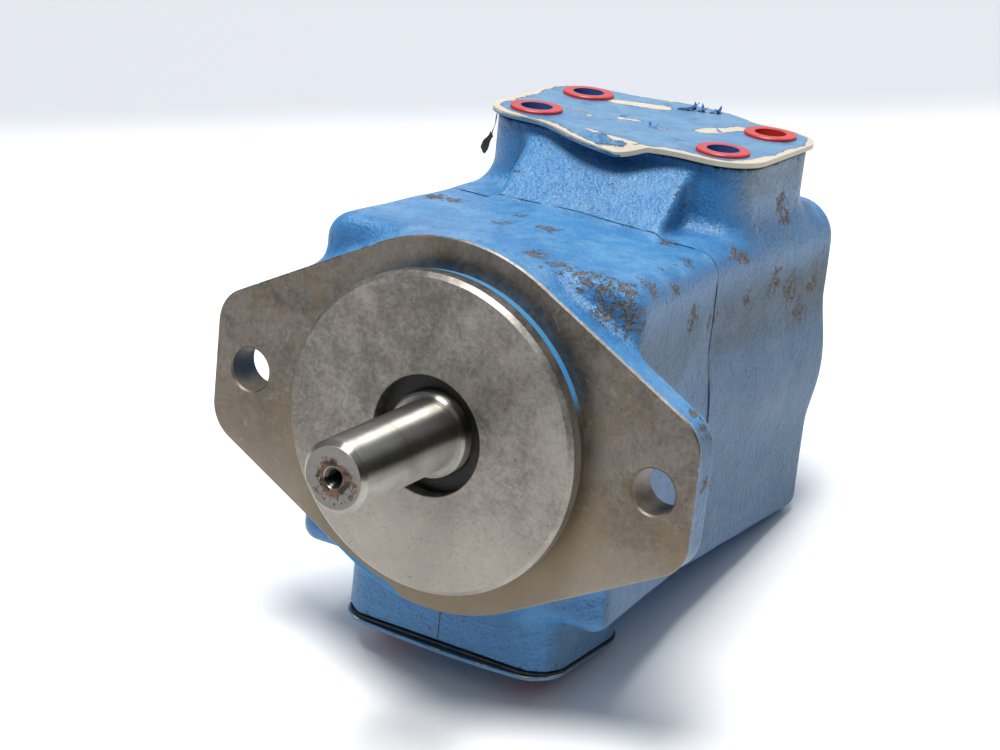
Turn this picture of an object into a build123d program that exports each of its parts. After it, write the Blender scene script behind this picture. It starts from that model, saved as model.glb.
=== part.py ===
from build123d import *
import math
import os

os.makedirs("parts", exist_ok=True)

# Hydraulic vane pump, millimetres. The origin is where the shaft axis meets the mounting face.
# The shaft points along -Y, the rear cover lies towards +Y, the inlet is on top (+Z)
# and the outlet is underneath (-Z).

# Mounting flange and spigot
flange_thickness = 12.0
flange_round_radius = 60.0
flange_ear_margin = 13.975
flange_corner_radius = 13.0
flange_corner_rise = 13.5
flange_rim_round = 4.0
spigot_radius = 50.8
spigot_height = 9.65
spigot_chamfer = 1.4
spigot_undercut_width = 4.2
spigot_undercut_depth = 0.9
bolt_span = 146.05
bolt_hole_radius = 7.15

# Outer form of the two castings: half width, rise above and drop below the shaft axis
front_half_width = 57.0
front_rise = 55.5
front_drop = 57.0
joint_half_width = 53.0
joint_rise = 54.0
joint_drop = 56.0
rear_half_width = 53.5
rear_rise = 55.5
rear_drop = 57.5
front_top_corner = 11.0
rear_top_corner = 13.5
bottom_corner_radius = 6.0
barrel_radius_at_joint = 55.7
barrel_radius_at_rear = 56.5
joint_y = 70.5
rear_edge_round = 6.0
barrel_end_chamfer = 4.8
front_edge_round = 7.0
collar_spread = 6.0
collar_length = 9.0
collar_taper = 35.0

# Outlet boss under the front housing
port_face_height = 76.2
outlet_y = 38.1
outlet_port_radius = 12.7
outlet_pad_half_x = 39.5
outlet_pad_half_y = 26.0
outlet_pad_corner = 12.0
outlet_bolt_span_x = 52.4
outlet_bolt_span_y = 26.2
outlet_bolt_radius = 4.76
outlet_bolt_depth = 22.0

# Inlet tower on top of the rear cover
inlet_rear_shelf = 14.4
inlet_port_radius = 19.05
inlet_pad_half_x = 48.5
inlet_pad_half_y = 29.5
inlet_pad_corner = 14.0
inlet_bolt_span_x = 69.9
inlet_bolt_span_y = 35.7
inlet_bolt_radius = 6.35
inlet_bolt_depth = 24.0
tower_blend_share = 0.35
ramp_half_width = 30.5
ramp_lip_lead = 4.7
ramp_lip_height = 70.0
ramp_step = 3.0
ramp_edge_round = 2.5

# Bores of the castings
wall_to_seal_pocket = 3.5
seal_outer_radius = 19.05
seal_recess = 4.5
seal_width = 8.0
seal_stop_radius = 17.0
chamber_front_y = 25.0
hub_wall = 5.0
chamber_radius = 43.0
chamber_round_share = 0.33
cartridge_bore_radius = 47.0
outlet_plate_y = 52.0
inlet_chamber_radius = 44.0
inlet_chamber_length = 36.1
rear_wall = 16.0

# Cover bolts, nominal 7/16 inch
cover_bolt_offset = 41.0
cover_bolt_radius = 5.5
cover_bolt_clearance = 0.5
cover_bolt_thread = 24.0
thread_clearance = 0.05
thread_hole_spare = 2.0
cover_bolt_head_across = 15.9
cover_bolt_head_height = 7.5
cover_bolt_crown_spread = 1.0
cover_bolt_recess_radius = 10.5
cover_bolt_recess_depth = 9.0

# Shaft
shaft_radius = 11.11
shaft_end_y = -58.7
shaft_end_chamfer = 1.6
shaft_land_step = 1.0
shaft_land_y = -9.5
shaft_land_chamfer = 0.8
keyway_width = 4.78
keyway_depth = 2.6
keyway_length = 32.0
keyway_angle = 218.0
centre_hole_radius = 2.5
centre_hole_depth = 9.0
centre_cone_radius = 3.6
shaft_waist_step = 0.2
spline_count = 12
spline_root_radius = 10.9
spline_height = 1.3
spline_tooth_width = 3.0
spline_root_sink = 1.0
spline_lead = 1.0
spline_clearance = 0.08
tail_radius = 9.5
tail_length = 12.0
tail_chamfer = 1.0

# Bearing, 25 x 52 x 15
bearing_bore_radius = 12.5
bearing_outer_radius = 26.0
bearing_width = 15.0
ball_share = 0.294
ball_count = 9
race_clearance = 0.10
race_shoulder_share = 0.211
cage_wall = 2.2
cage_cover = 2.5
pocket_clearance = 0.12
bore_ring_thickness = 2.0
bore_ring_groove_depth = 1.3
bore_ring_width = 3.0
bore_ring_lug_radius = 1.9
shaft_ring_thickness = 1.2
shaft_ring_groove_depth = 0.7
shaft_ring_width = 2.3
shaft_ring_lug_radius = 1.6
lug_hole_share = 0.45
ring_gap_angle = 34.0
lug_angle = 4.0

# Pumping cartridge
plate_thickness = 14.0
cam_ring_width = 30.0
cartridge_clearance = 0.2
cartridge_edge_chamfer = 0.8
cam_minor_radius = 32.2
cam_rise = 4.2
rotor_clearance = 0.3
rotor_side_clearance = 0.05
vane_count = 10
vane_slot_width = 2.4
vane_side_clearance = 0.05
vane_end_clearance = 0.1
vane_tip_drop = 0.6
vane_tip_bevel = 1.0
vane_tip_flat = 0.6
vane_root_gap = 0.4
slot_depth = 9.6
slot_root_round = 1.7
insert_height = 3.0
insert_length = 11.5
insert_clearance = 0.15
kidney_radius = 33.4
kidney_width = 5.0
kidney_sweep = 40.0
kidney_depth = 5.0
vane_groove_radius = 23.4
vane_groove_width = 2.6
vane_groove_depth = 2.0
plate_bore_clearance = 0.9
plate_hub_length = 8.0
plate_hub_clearance = 0.15
dowel_radius = 2.5
dowel_spread = 40.0
dowel_sink = 8.0
dowel_clearance = 0.05
dowel_end_gap = 0.5
cartridge_screw_radius = 2.9
cartridge_screw_spread = 41.6
cartridge_screw_bite = 5.0
cartridge_screw_head_radius = 4.6
cartridge_screw_head_height = 4.5
cartridge_screw_socket_radius = 2.5
cartridge_screw_socket_depth = 2.7
screw_head_sink = 0.3
screw_clearance = 0.2
tail_bush_wall = 2.5
tail_bush_setback = 0.2
tail_clearance = 0.05

# Shaft seal
seal_case_wall = 1.0
seal_case_reach = 3.55
seal_land_clearance = 0.06
lip_mouth_gap = 0.8
lip_back_thickness = 2.6
lip_relief = 0.9
lip_edge_y = 6.0
lip_heel_y = 4.6
lip_end_y = 7.0
dust_lip_gap = 0.1
garter_section = 0.7

# Static seals
joint_ring_wall = 2.2
joint_ring_section = 1.1
rim_ring_section = 1.2
rim_ring_setback = 5.0
rim_backup_thickness = 1.2
hub_ring_section = 1.0
groove_clearance = 0.1

# Port closures
gasket_thickness = 0.8
gasket_margin = 0.5
closure_thickness = 1.6
closure_corner_growth = 1.0
inlet_closure_margin_x = 2.0
inlet_closure_margin_y = 2.0
inlet_closure_bulge = 37.5
outlet_closure_margin_x = 0.6
outlet_closure_margin_y = 1.0
plug_rim_height = 1.1
plug_rim_overhang = 2.5
plug_rim_bevel = 0.3
plug_wall = 0.7
plug_clearance = 0.3
plug_depth = 14.0
plug_taper = 0.3

# Places and fits that follow from the sizes above
cam_ring_y = outlet_plate_y + plate_thickness
inlet_plate_y = cam_ring_y + cam_ring_width
cartridge_end_y = inlet_plate_y + plate_thickness
cartridge_middle_y = cam_ring_y + cam_ring_width / 2
cartridge_radius = cartridge_bore_radius - cartridge_clearance
pump_length = cartridge_end_y + inlet_chamber_length + rear_wall
inlet_y = pump_length - inlet_rear_shelf - inlet_pad_half_y
tower_blend = tower_blend_share * (port_face_height - rear_rise)
ramp_lip_y = inlet_y - inlet_pad_half_y - ramp_lip_lead
flange_half_width = bolt_span / 2 + flange_ear_margin
seal_front_y = seal_recess - spigot_height
seal_rear_y = seal_front_y + seal_width
bearing_y = seal_rear_y + wall_to_seal_pocket
bearing_end_y = bearing_y + bearing_width
bearing_middle_y = bearing_y + bearing_width / 2
bearing_pitch_radius = (bearing_bore_radius + bearing_outer_radius) / 2
bearing_section = bearing_outer_radius - bearing_bore_radius
ball_radius = ball_share * bearing_section
race_shoulder = race_shoulder_share * bearing_section
cage_length = cage_cover * ball_radius
hub_outer_radius = bearing_outer_radius + hub_wall
chamber_round = chamber_round_share * (chamber_radius - hub_outer_radius)
shaft_land_radius = bearing_bore_radius + shaft_land_step
shaft_waist_radius = bearing_bore_radius - shaft_waist_step
spline_tip_radius = spline_root_radius + spline_height
plate_bore_radius = shaft_waist_radius + plate_bore_clearance
tail_end_y = inlet_plate_y + tail_length
tail_bore_radius = tail_radius + tail_clearance
recess_floor_y = pump_length - cover_bolt_recess_depth
rotor_radius = cam_minor_radius - rotor_clearance
slot_bottom_radius = rotor_radius - slot_depth
vane_thickness = vane_slot_width - 2 * vane_side_clearance
vane_start_radius = slot_bottom_radius + vane_root_gap
vane_top_radius = rotor_radius - vane_tip_drop
joint_ring_radius = cartridge_bore_radius + joint_ring_wall
rim_ring_y = outlet_plate_y + rim_ring_setback
plate_hub_radius = bearing_outer_radius - plate_hub_clearance
plate_hub_ring_y = outlet_plate_y - plate_hub_length / 2
inlet_sheet_z = port_face_height + gasket_thickness
inlet_rim_z = inlet_sheet_z + closure_thickness


def across(y):
    """Plane square to the shaft at y; its own axes are world X and world Z."""
    return Plane(origin=(0, y, 0), x_dir=(1, 0, 0), z_dir=(0, -1, 0))


def slab(sketch, start_y, end_y):
    """Straight extrusion of a sketch along the shaft."""
    return extrude(across(start_y) * sketch, amount=start_y - end_y)


def column(sketch, low_z, high_z):
    """Straight upright extrusion of a sketch."""
    return extrude(Pos(0, 0, low_z) * sketch, amount=high_z - low_z)


def turned(*points):
    """Solid of revolution about the shaft axis from (radius, y) corners."""
    return revolve(make_face(Polyline(*points, close=True)), Axis.Y)


def tube(inner, outer, start_y, end_y):
    """Plain ring about the shaft axis."""
    return turned((inner, start_y), (outer, start_y), (outer, end_y), (inner, end_y))


def disc(radius, start_y, end_y):
    """Plain round bar about the shaft axis."""
    return slab(Circle(radius), start_y, end_y)


def torus_at(radius, section, y):
    """Ring of round section about the shaft axis."""
    return revolve(Plane.XY * Pos(radius, y) * Circle(section), Axis.Y)


def corners(half_x, half_y):
    """The four corners of a rectangle about the origin."""
    return [(x, y) for x in (-half_x, half_x) for y in (-half_y, half_y)]


def ring_of(shape, count):
    """Copies of a shape turned evenly round the shaft axis."""
    return [Rot(0, 360 / count * step, 0) * shape for step in range(count)]


def body_outline(half_width, rise, drop, top_corner):
    """Casting section with large top corners and tighter bottom corners."""
    outline = Pos(0, (rise - drop) / 2) * Rectangle(2 * half_width, rise + drop)
    outline = fillet(outline.vertices().group_by(Axis.Y)[-1], top_corner)
    return fillet(outline.vertices().group_by(Axis.Y)[0], bottom_corner_radius)


def flange_outline():
    """Two-bolt flange: a round middle drawn out to two blunt ears."""
    outline = Sketch() + Circle(flange_round_radius)
    ear_x = flange_half_width - flange_corner_radius
    for x, z in corners(ear_x, flange_corner_rise):
        outline += Pos(x, z) * Circle(flange_corner_radius)
    return make_hull(outline.edges())


def port_pad(half_x, half_y, corner, centre_y):
    """Rounded rectangle of a port face."""
    return Pos(0, centre_y) * RectangleRounded(2 * half_x, 2 * half_y, corner)


front_section = body_outline(front_half_width, front_rise, front_drop, front_top_corner)
joint_section = body_outline(joint_half_width, joint_rise, joint_drop, front_top_corner)
rear_section = body_outline(rear_half_width, rear_rise, rear_drop, rear_top_corner)


def drafted_box(start_y, end_y, start_section, end_section):
    """Drafted body of a casting, straight between two sections."""
    return loft([across(start_y) * start_section, across(end_y) * end_section], ruled=True)


def cut_holes(solid, sketch, start_y, end_y, places):
    """The same hole along the shaft at several places."""
    for x, z in places:
        solid -= slab(Pos(x, z) * sketch, start_y, end_y)
    return solid


def cut_port_holes(solid, radius, depth, span_x, span_y, centre_y, side):
    """Four threaded holes into a port face; side is 1 on top and -1 underneath."""
    face_z = side * port_face_height
    hole = extrude(Pos(0, 0, face_z) * Circle(radius), amount=-side * depth)
    for x, y in corners(span_x / 2, span_y / 2):
        solid -= Pos(x, centre_y + y) * hole
    return solid


def spigot():
    """Locating spigot: bevelled front edge, full-size land and an undercut at its root."""
    root = spigot_radius - spigot_undercut_depth
    return turned((0, -spigot_height), (spigot_radius - spigot_chamfer, -spigot_height),
                  (spigot_radius, spigot_chamfer - spigot_height), (spigot_radius, -spigot_undercut_width),
                  (root, spigot_undercut_depth - spigot_undercut_width), (root, 0), (0, 0))


def front_casting():
    """Outside of the front housing: flange, spigot, drafted body, barrel and outlet boss."""
    flange = slab(flange_outline(), 0, flange_thickness)
    flange = fillet(flange.faces().sort_by(Axis.Y)[-1].edges(), flange_rim_round)
    box = drafted_box(flange_thickness, joint_y, front_section, joint_section)
    box = fillet(box.faces().sort_by(Axis.Y)[0].edges(), front_edge_round)
    barrel = disc(barrel_radius_at_joint, flange_thickness, joint_y)
    collar_start = flange_thickness - flange_rim_round
    collar = extrude(across(collar_start) * offset(front_section, collar_spread),
                     amount=-(collar_length + flange_rim_round), taper=collar_taper)
    collar = collar & slab(flange_outline(), 0, flange_thickness + collar_length)
    pad = port_pad(outlet_pad_half_x, outlet_pad_half_y, outlet_pad_corner, outlet_y)
    boss = column(pad, -port_face_height, 0)
    return flange + spigot() + box + barrel + collar + boss


def make_front_housing():
    """Front housing with seal pocket, bearing bore, outlet chamber and cartridge bore."""
    solid = front_casting()
    solid -= turned((0, -spigot_height), (seal_outer_radius + spigot_undercut_depth, -spigot_height),
                    (seal_outer_radius, spigot_undercut_depth - spigot_height),
                    (seal_outer_radius, seal_rear_y), (0, seal_rear_y))
    solid -= disc(seal_stop_radius, seal_rear_y, bearing_y)
    solid -= disc(bearing_outer_radius, bearing_y, outlet_plate_y)
    solid -= disc(bearing_outer_radius + bore_ring_groove_depth, bearing_end_y,
                  bearing_end_y + bore_ring_thickness + groove_clearance)
    chamber = tube(hub_outer_radius, chamber_radius, chamber_front_y, outlet_plate_y)
    solid -= fillet(chamber.faces().sort_by(Axis.Y)[0].edges(), chamber_round)
    solid -= disc(cartridge_bore_radius, outlet_plate_y, joint_y)
    solid -= Pos(0, outlet_y) * column(Circle(outlet_port_radius), -port_face_height,
                                       chamber_round - chamber_radius)
    solid = cut_port_holes(solid, outlet_bolt_radius, outlet_bolt_depth, outlet_bolt_span_x,
                           outlet_bolt_span_y, outlet_y, -1)
    solid = cut_holes(solid, Circle(bolt_hole_radius), 0, flange_thickness,
                      [(-bolt_span / 2, 0), (bolt_span / 2, 0)])
    solid = cut_holes(solid, Circle(cover_bolt_radius + thread_clearance),
                      joint_y - cover_bolt_thread - thread_hole_spare, joint_y,
                      corners(cover_bolt_offset, cover_bolt_offset))
    ring_seat = joint_ring_section + groove_clearance
    solid -= tube(joint_ring_radius - ring_seat, joint_ring_radius + ring_seat,
                  joint_y - 2 * joint_ring_section, joint_y)
    return solid


def rear_casting():
    """Outside of the rear cover: drafted body and barrel, inlet tower and the ramp before it."""
    box = drafted_box(joint_y, pump_length, joint_section, rear_section)
    box = fillet(box.faces().sort_by(Axis.Y)[-1].edges(), rear_edge_round)
    barrel = turned((0, joint_y), (barrel_radius_at_joint, joint_y),
                    (barrel_radius_at_rear, pump_length), (0, pump_length))
    barrel = chamfer(barrel.edges().sort_by(Axis.Y)[-1], barrel_end_chamfer)
    body = box + barrel
    tower = column(port_pad(inlet_pad_half_x, inlet_pad_half_y, inlet_pad_corner, inlet_y),
                   0, port_face_height)
    joined = body + tower
    joined = fillet(new_edges(body, tower, combined=joined), tower_blend)
    ramp_top = port_face_height - ramp_step
    side = make_face(Polyline((joint_y, 0), (joint_y, barrel_radius_at_joint),
                              (ramp_lip_y, ramp_lip_height), (ramp_lip_y + ramp_step, ramp_top),
                              (inlet_y, ramp_top), (inlet_y, 0), close=True))
    ramp = extrude(Plane.YZ * side, amount=ramp_half_width, both=True)
    slope = ramp.faces().filter_by(lambda face: face.normal_at().Y < -0.5 and face.normal_at().Z > 0.5)
    sides = [edge for face in slope for edge in face.edges() if abs(edge.center().X) > ramp_half_width / 2]
    return joined + fillet(sides, ramp_edge_round)


def make_rear_cover():
    """Rear cover with cartridge bore, inlet chamber and port, and sunk bolt seats."""
    solid = rear_casting()
    solid -= disc(cartridge_bore_radius, joint_y, cartridge_end_y)
    chamber = disc(inlet_chamber_radius, cartridge_end_y, pump_length - rear_wall)
    solid -= fillet(chamber.faces().sort_by(Axis.Y)[-1].edges(), chamber_round)
    solid -= Pos(0, inlet_y) * column(Circle(inlet_port_radius), inlet_chamber_radius - 2 * chamber_round,
                                      port_face_height)
    solid = cut_port_holes(solid, inlet_bolt_radius, inlet_bolt_depth, inlet_bolt_span_x,
                           inlet_bolt_span_y, inlet_y, 1)
    bolts = corners(cover_bolt_offset, cover_bolt_offset)
    solid = cut_holes(solid, Circle(cover_bolt_radius + cover_bolt_clearance), joint_y, pump_length, bolts)
    return cut_holes(solid, Circle(cover_bolt_recess_radius), recess_floor_y, pump_length, bolts)


def make_cover_bolts():
    """Hex bolts through the cover into the housing, heads sunk in round recesses."""
    head_end_y = recess_floor_y + cover_bolt_head_height
    flat_radius = cover_bolt_head_across / 2
    head = slab(RegularPolygon(flat_radius, 6, major_radius=False), recess_floor_y, head_end_y)
    crown_radius = flat_radius + cover_bolt_crown_spread
    crown = turned((0, recess_floor_y), (crown_radius, recess_floor_y),
                   (crown_radius, head_end_y - cover_bolt_crown_spread), (flat_radius, head_end_y),
                   (0, head_end_y))
    bolt = (head & crown) + disc(cover_bolt_radius, joint_y - cover_bolt_thread, recess_floor_y)
    return [Pos(x, 0, z) * bolt for x, z in corners(cover_bolt_offset, cover_bolt_offset)]


def shaft_blank():
    """Turned shape of the shaft from its drive end to its tail."""
    ring_groove_radius = bearing_bore_radius - shaft_ring_groove_depth
    ring_groove_end = bearing_end_y + shaft_ring_thickness
    spline_start = cam_ring_y - spline_lead
    return turned((0, shaft_end_y), (shaft_radius - shaft_end_chamfer, shaft_end_y),
                  (shaft_radius, shaft_end_y + shaft_end_chamfer), (shaft_radius, shaft_land_y),
                  (shaft_land_radius - shaft_land_chamfer, shaft_land_y),
                  (shaft_land_radius, shaft_land_y + shaft_land_chamfer), (shaft_land_radius, bearing_y),
                  (bearing_bore_radius, bearing_y), (bearing_bore_radius, bearing_end_y),
                  (ring_groove_radius, bearing_end_y), (ring_groove_radius, ring_groove_end),
                  (shaft_waist_radius, ring_groove_end), (shaft_waist_radius, spline_start),
                  (spline_root_radius, spline_start), (spline_root_radius, inlet_plate_y),
                  (tail_radius, inlet_plate_y), (tail_radius, tail_end_y - tail_chamfer),
                  (tail_radius - tail_chamfer, tail_end_y), (0, tail_end_y))


def spline_bars(clearance):
    """Section of the spline teeth, grown by a clearance; their feet are sunk into the core."""
    foot = spline_root_radius - spline_root_sink
    tip = spline_tip_radius + clearance
    bar = Pos(0, (foot + tip) / 2) * Rectangle(spline_tooth_width + 2 * clearance, tip - foot)
    return Sketch() + [Rot(0, 0, 360 / spline_count * step) * bar for step in range(spline_count)]


def make_shaft():
    """Drive shaft with keyway, centre hole, splines for the rotor and a tail journal."""
    shaft = shaft_blank()
    teeth = spline_bars(0) & Circle(spline_tip_radius)
    shaft += slab(teeth, cam_ring_y - spline_lead, inlet_plate_y)
    middle = shaft_end_y + keyway_length / 2
    slot = extrude(Plane.XY * Pos(shaft_radius, middle) * Rectangle(2 * keyway_depth, keyway_length),
                   amount=keyway_width / 2, both=True)
    shaft -= Rot(0, -keyway_angle, 0) * slot
    cone_end = shaft_end_y + centre_cone_radius - centre_hole_radius
    hole_end = shaft_end_y + centre_hole_depth
    return shaft - turned((0, shaft_end_y), (centre_cone_radius, shaft_end_y),
                          (centre_hole_radius, cone_end), (centre_hole_radius, hole_end),
                          (0, hole_end + centre_hole_radius))


def cam_contour():
    """Double-lobe bore: the radius rises by a smooth step, twice a turn, with a dwell at both ends."""
    points = []
    steps = 72
    for step in range(steps):
        angle = 2 * math.pi * step / steps
        wave = (1 - math.cos(2 * angle)) / 2
        radius = cam_minor_radius + cam_rise * wave * wave * (3 - 2 * wave)
        points.append((radius * math.cos(angle), radius * math.sin(angle)))
    return make_face(Spline(*points, periodic=True))


def kidneys(first_angle):
    """Two curved port slots, opposite each other."""
    slots = Sketch()
    for angle in (first_angle, first_angle + 180):
        arc = CenterArc((0, 0), kidney_radius, angle - kidney_sweep / 2, kidney_sweep)
        slots += SlotArc(arc, kidney_width)
    return slots


def cut_vane_groove(plate, start_y, end_y):
    """Ring groove that feeds oil under the vanes."""
    half = vane_groove_width / 2
    return plate - tube(vane_groove_radius - half, vane_groove_radius + half, start_y, end_y)


dowel_places = [(-dowel_spread, 0), (dowel_spread, 0)]
screw_places = [(0, -cartridge_screw_spread), (0, cartridge_screw_spread)]
dowel_hole = Circle(dowel_radius + dowel_clearance)
screw_hole = Circle(cartridge_screw_radius + screw_clearance)
screw_start_y = cam_ring_y - cartridge_screw_bite


def make_outlet_plate():
    """Outlet side plate with a hub that plugs into the bearing bore."""
    start, end = outlet_plate_y, cam_ring_y
    hub_start = start - plate_hub_length
    plate = disc(cartridge_radius, start, end) + disc(plate_hub_radius, hub_start, start)
    plate -= disc(plate_bore_radius, hub_start, end)
    plate -= slab(kidneys(135), start, end)
    plate -= slab(kidneys(45), end - kidney_depth, end)
    plate = cut_vane_groove(plate, end - vane_groove_depth, end)
    plate = cut_holes(plate, dowel_hole, end - dowel_sink, end, dowel_places)
    plate = cut_holes(plate, screw_hole, screw_start_y - dowel_end_gap, end, screw_places)
    rim_seat = 2 * rim_ring_section + groove_clearance
    plate -= tube(cartridge_radius - rim_seat, cartridge_radius + rim_seat, rim_ring_y - rim_ring_section,
                  rim_ring_y + rim_ring_section + rim_backup_thickness)
    hub_seat = hub_ring_section + groove_clearance
    return plate - tube(plate_hub_radius - 2 * hub_ring_section, plate_hub_radius + hub_seat,
                        plate_hub_ring_y - hub_seat, plate_hub_ring_y + hub_seat)


def make_inlet_plate():
    """Inlet side plate with the tail bush bore and counterbored screw holes."""
    start, end = inlet_plate_y, cartridge_end_y
    plate = disc(cartridge_radius, start, end) - disc(tail_bore_radius + tail_bush_wall, start, end)
    plate -= slab(kidneys(45), start, end)
    plate -= slab(kidneys(135), start, start + kidney_depth)
    plate = cut_vane_groove(plate, start, start + vane_groove_depth)
    plate = cut_holes(plate, dowel_hole, start, start + dowel_sink, dowel_places)
    plate = cut_holes(plate, screw_hole, start, end, screw_places)
    return cut_holes(plate, Circle(cartridge_screw_head_radius + screw_clearance),
                     end - cartridge_screw_head_height, end, screw_places)


def make_cam_ring():
    """Ring between the plates whose bore pushes the vanes in and out twice a turn."""
    ring = disc(cartridge_radius, cam_ring_y, inlet_plate_y) - slab(cam_contour(), cam_ring_y, inlet_plate_y)
    ring = cut_holes(ring, dowel_hole, cam_ring_y, inlet_plate_y, dowel_places)
    ring = cut_holes(ring, screw_hole, cam_ring_y, inlet_plate_y, screw_places)
    rims = [edge for edge in ring.edges().filter_by(GeomType.CIRCLE) if edge.radius > kidney_radius]
    return chamfer(rims, cartridge_edge_chamfer)


def make_rotor():
    """Rotor with internal splines and a round-rooted slot for each vane."""
    depth = slot_depth + slot_root_round
    slot = Pos(0, slot_bottom_radius + depth / 2) * Rectangle(vane_slot_width, depth)
    slot += Pos(0, slot_bottom_radius) * Circle(slot_root_round)
    section = Circle(rotor_radius) - Circle(spline_root_radius + spline_clearance)
    section -= spline_bars(spline_clearance)
    for step in range(vane_count):
        section -= Rot(0, 0, 360 / vane_count * step) * slot
    return slab(section, cam_ring_y + rotor_side_clearance, inlet_plate_y - rotor_side_clearance)


def make_vane():
    """Vane in the slot that points up: bevelled tip, and a notch under it for its insert."""
    half_length = cam_ring_width / 2 - rotor_side_clearance - vane_end_clearance
    half = vane_thickness / 2
    profile = make_face(Polyline((-half, vane_start_radius), (half, vane_start_radius),
                                 (half, vane_top_radius), (half - vane_tip_flat, vane_top_radius),
                                 (-half, vane_top_radius - vane_tip_bevel), close=True))
    vane = slab(profile, cartridge_middle_y - half_length, cartridge_middle_y + half_length)
    notch = Box(2 * vane_thickness, insert_length + 2 * insert_clearance,
                2 * (insert_height + insert_clearance))
    return vane - Pos(0, cartridge_middle_y, vane_start_radius) * notch


def make_insert():
    """Small bar under the middle of a vane; oil between the two pushes the vane out."""
    return Pos(0, cartridge_middle_y, vane_start_radius + insert_height / 2) * Box(
        vane_thickness, insert_length, insert_height)


def make_seal_case():
    """Pressed cup: a rim against the housing and a flat wall on the air side."""
    inner = seal_outer_radius - seal_case_reach
    wall_start = seal_front_y + seal_case_wall
    wall_end = wall_start + seal_case_wall
    return turned((inner, wall_start), (seal_outer_radius, wall_start), (seal_outer_radius, seal_rear_y),
                  (seal_outer_radius - seal_case_wall, seal_rear_y),
                  (seal_outer_radius - seal_case_wall, wall_end), (inner, wall_end))


def make_seal_lip():
    """Moulded rubber: a skin over the cup's front, a dust lip and the spring-loaded main lip."""
    land = shaft_land_radius + seal_land_clearance
    inner = seal_outer_radius - seal_case_reach
    front = seal_front_y
    back = land + lip_back_thickness
    relief = land + lip_relief
    return turned((land + lip_mouth_gap, front), (seal_outer_radius, front),
                  (seal_outer_radius, front + seal_case_wall), (inner, front + seal_case_wall),
                  (inner, front + lip_heel_y), (back, front + lip_heel_y + garter_section),
                  (back, front + lip_end_y), (relief, front + lip_end_y), (land, front + lip_edge_y),
                  (relief, front + lip_heel_y), (relief, front + 2 * garter_section),
                  (land + dust_lip_gap, front + dust_lip_gap))


def make_cage():
    """Ball cage: a ring with a round pocket for each ball."""
    cage = tube(bearing_pitch_radius - cage_wall / 2, bearing_pitch_radius + cage_wall / 2,
                bearing_middle_y - cage_length / 2, bearing_middle_y + cage_length / 2)
    pocket = Rot(0, 90, 0) * Cylinder(ball_radius + pocket_clearance, 4 * cage_wall)
    for hole in ring_of(Pos(bearing_pitch_radius, bearing_middle_y, 0) * pocket, ball_count):
        cage -= hole
    return cage


def open_ring(inner, outer, start_y, thickness, lug_radius, lug_centre):
    """Retaining ring with a gap at the bottom and a drilled lug each side of it."""
    ring = Circle(outer) - Circle(inner)
    half_gap = math.radians(ring_gap_angle / 2)
    gap_x = 2 * outer * math.sin(half_gap)
    gap_z = -2 * outer * math.cos(half_gap)
    ring -= make_face(Polyline((0, 0), (-gap_x, gap_z), (gap_x, gap_z), close=True))
    for side in (-1, 1):
        place = Rot(0, 0, side * (ring_gap_angle / 2 + lug_angle)) * Pos(0, -lug_centre)
        ring += place * Circle(lug_radius)
        ring -= place * Circle(lug_radius * lug_hole_share)
    return slab(ring, start_y, start_y + thickness)


def make_bore_ring():
    """Internal retaining ring behind the bearing's outer ring."""
    outer = bearing_outer_radius + bore_ring_groove_depth - groove_clearance
    lug_centre = outer - bore_ring_width - bore_ring_lug_radius / 3
    return open_ring(outer - bore_ring_width, outer, bearing_end_y, bore_ring_thickness,
                     bore_ring_lug_radius, lug_centre)


def make_shaft_ring():
    """External retaining ring on the shaft behind the bearing's inner ring."""
    inner = bearing_bore_radius - shaft_ring_groove_depth + groove_clearance / 2
    outer = inner + shaft_ring_width
    return open_ring(inner, outer, bearing_end_y, shaft_ring_thickness - groove_clearance,
                     shaft_ring_lug_radius, outer + shaft_ring_lug_radius / 4)


def make_cartridge_screws():
    """Cap screws from the inlet side that hold the cartridge together."""
    head_y = cartridge_end_y - cartridge_screw_head_height
    head_end_y = cartridge_end_y - screw_head_sink
    screw = disc(cartridge_screw_radius, screw_start_y, head_y)
    screw += disc(cartridge_screw_head_radius, head_y, head_end_y)
    screw -= slab(RegularPolygon(cartridge_screw_socket_radius, 6, major_radius=False),
                  head_end_y - cartridge_screw_socket_depth, head_end_y)
    return [Pos(x, 0, z) * screw for x, z in screw_places]


def make_dowels():
    """Pins that keep plates and cam ring in register."""
    pin = disc(dowel_radius, cam_ring_y - dowel_sink + dowel_end_gap,
               inlet_plate_y + dowel_sink - dowel_end_gap)
    return [Pos(x, 0, z) * pin for x, z in dowel_places]


def race(inner, outer):
    """Bearing ring with its ball groove."""
    groove = torus_at(bearing_pitch_radius, ball_radius + race_clearance, bearing_middle_y)
    return tube(inner, outer, bearing_y, bearing_end_y) - groove


def holed(outline, span_x, span_y, hole_radius):
    """Four round holes in a port sheet."""
    for x, y in corners(span_x / 2, span_y / 2):
        outline -= Pos(x, y) * Circle(hole_radius)
    return outline


def closure_outline(half_x, half_y, corner):
    """Rounded rectangle of a closure sheet."""
    return RectangleRounded(2 * half_x, 2 * half_y, corner + closure_corner_growth)


def push_plug(hole_radius):
    """Thin plastic cup with a flat rim; the rim's underside is at z = 0 and the cup hangs down."""
    outer = hole_radius - plug_clearance
    inner = outer - plug_wall
    rim = hole_radius + plug_rim_overhang
    profile = make_face(Polyline((inner, plug_rim_height), (rim - plug_rim_bevel, plug_rim_height),
                                 (rim, plug_rim_height - plug_rim_bevel), (rim, 0), (outer, 0),
                                 (outer - plug_taper, -plug_depth), (0, -plug_depth),
                                 (0, plug_wall - plug_depth), (inner - plug_taper, plug_wall - plug_depth),
                                 close=True))
    return revolve(Plane.XZ * profile, Axis.Z)


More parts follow.
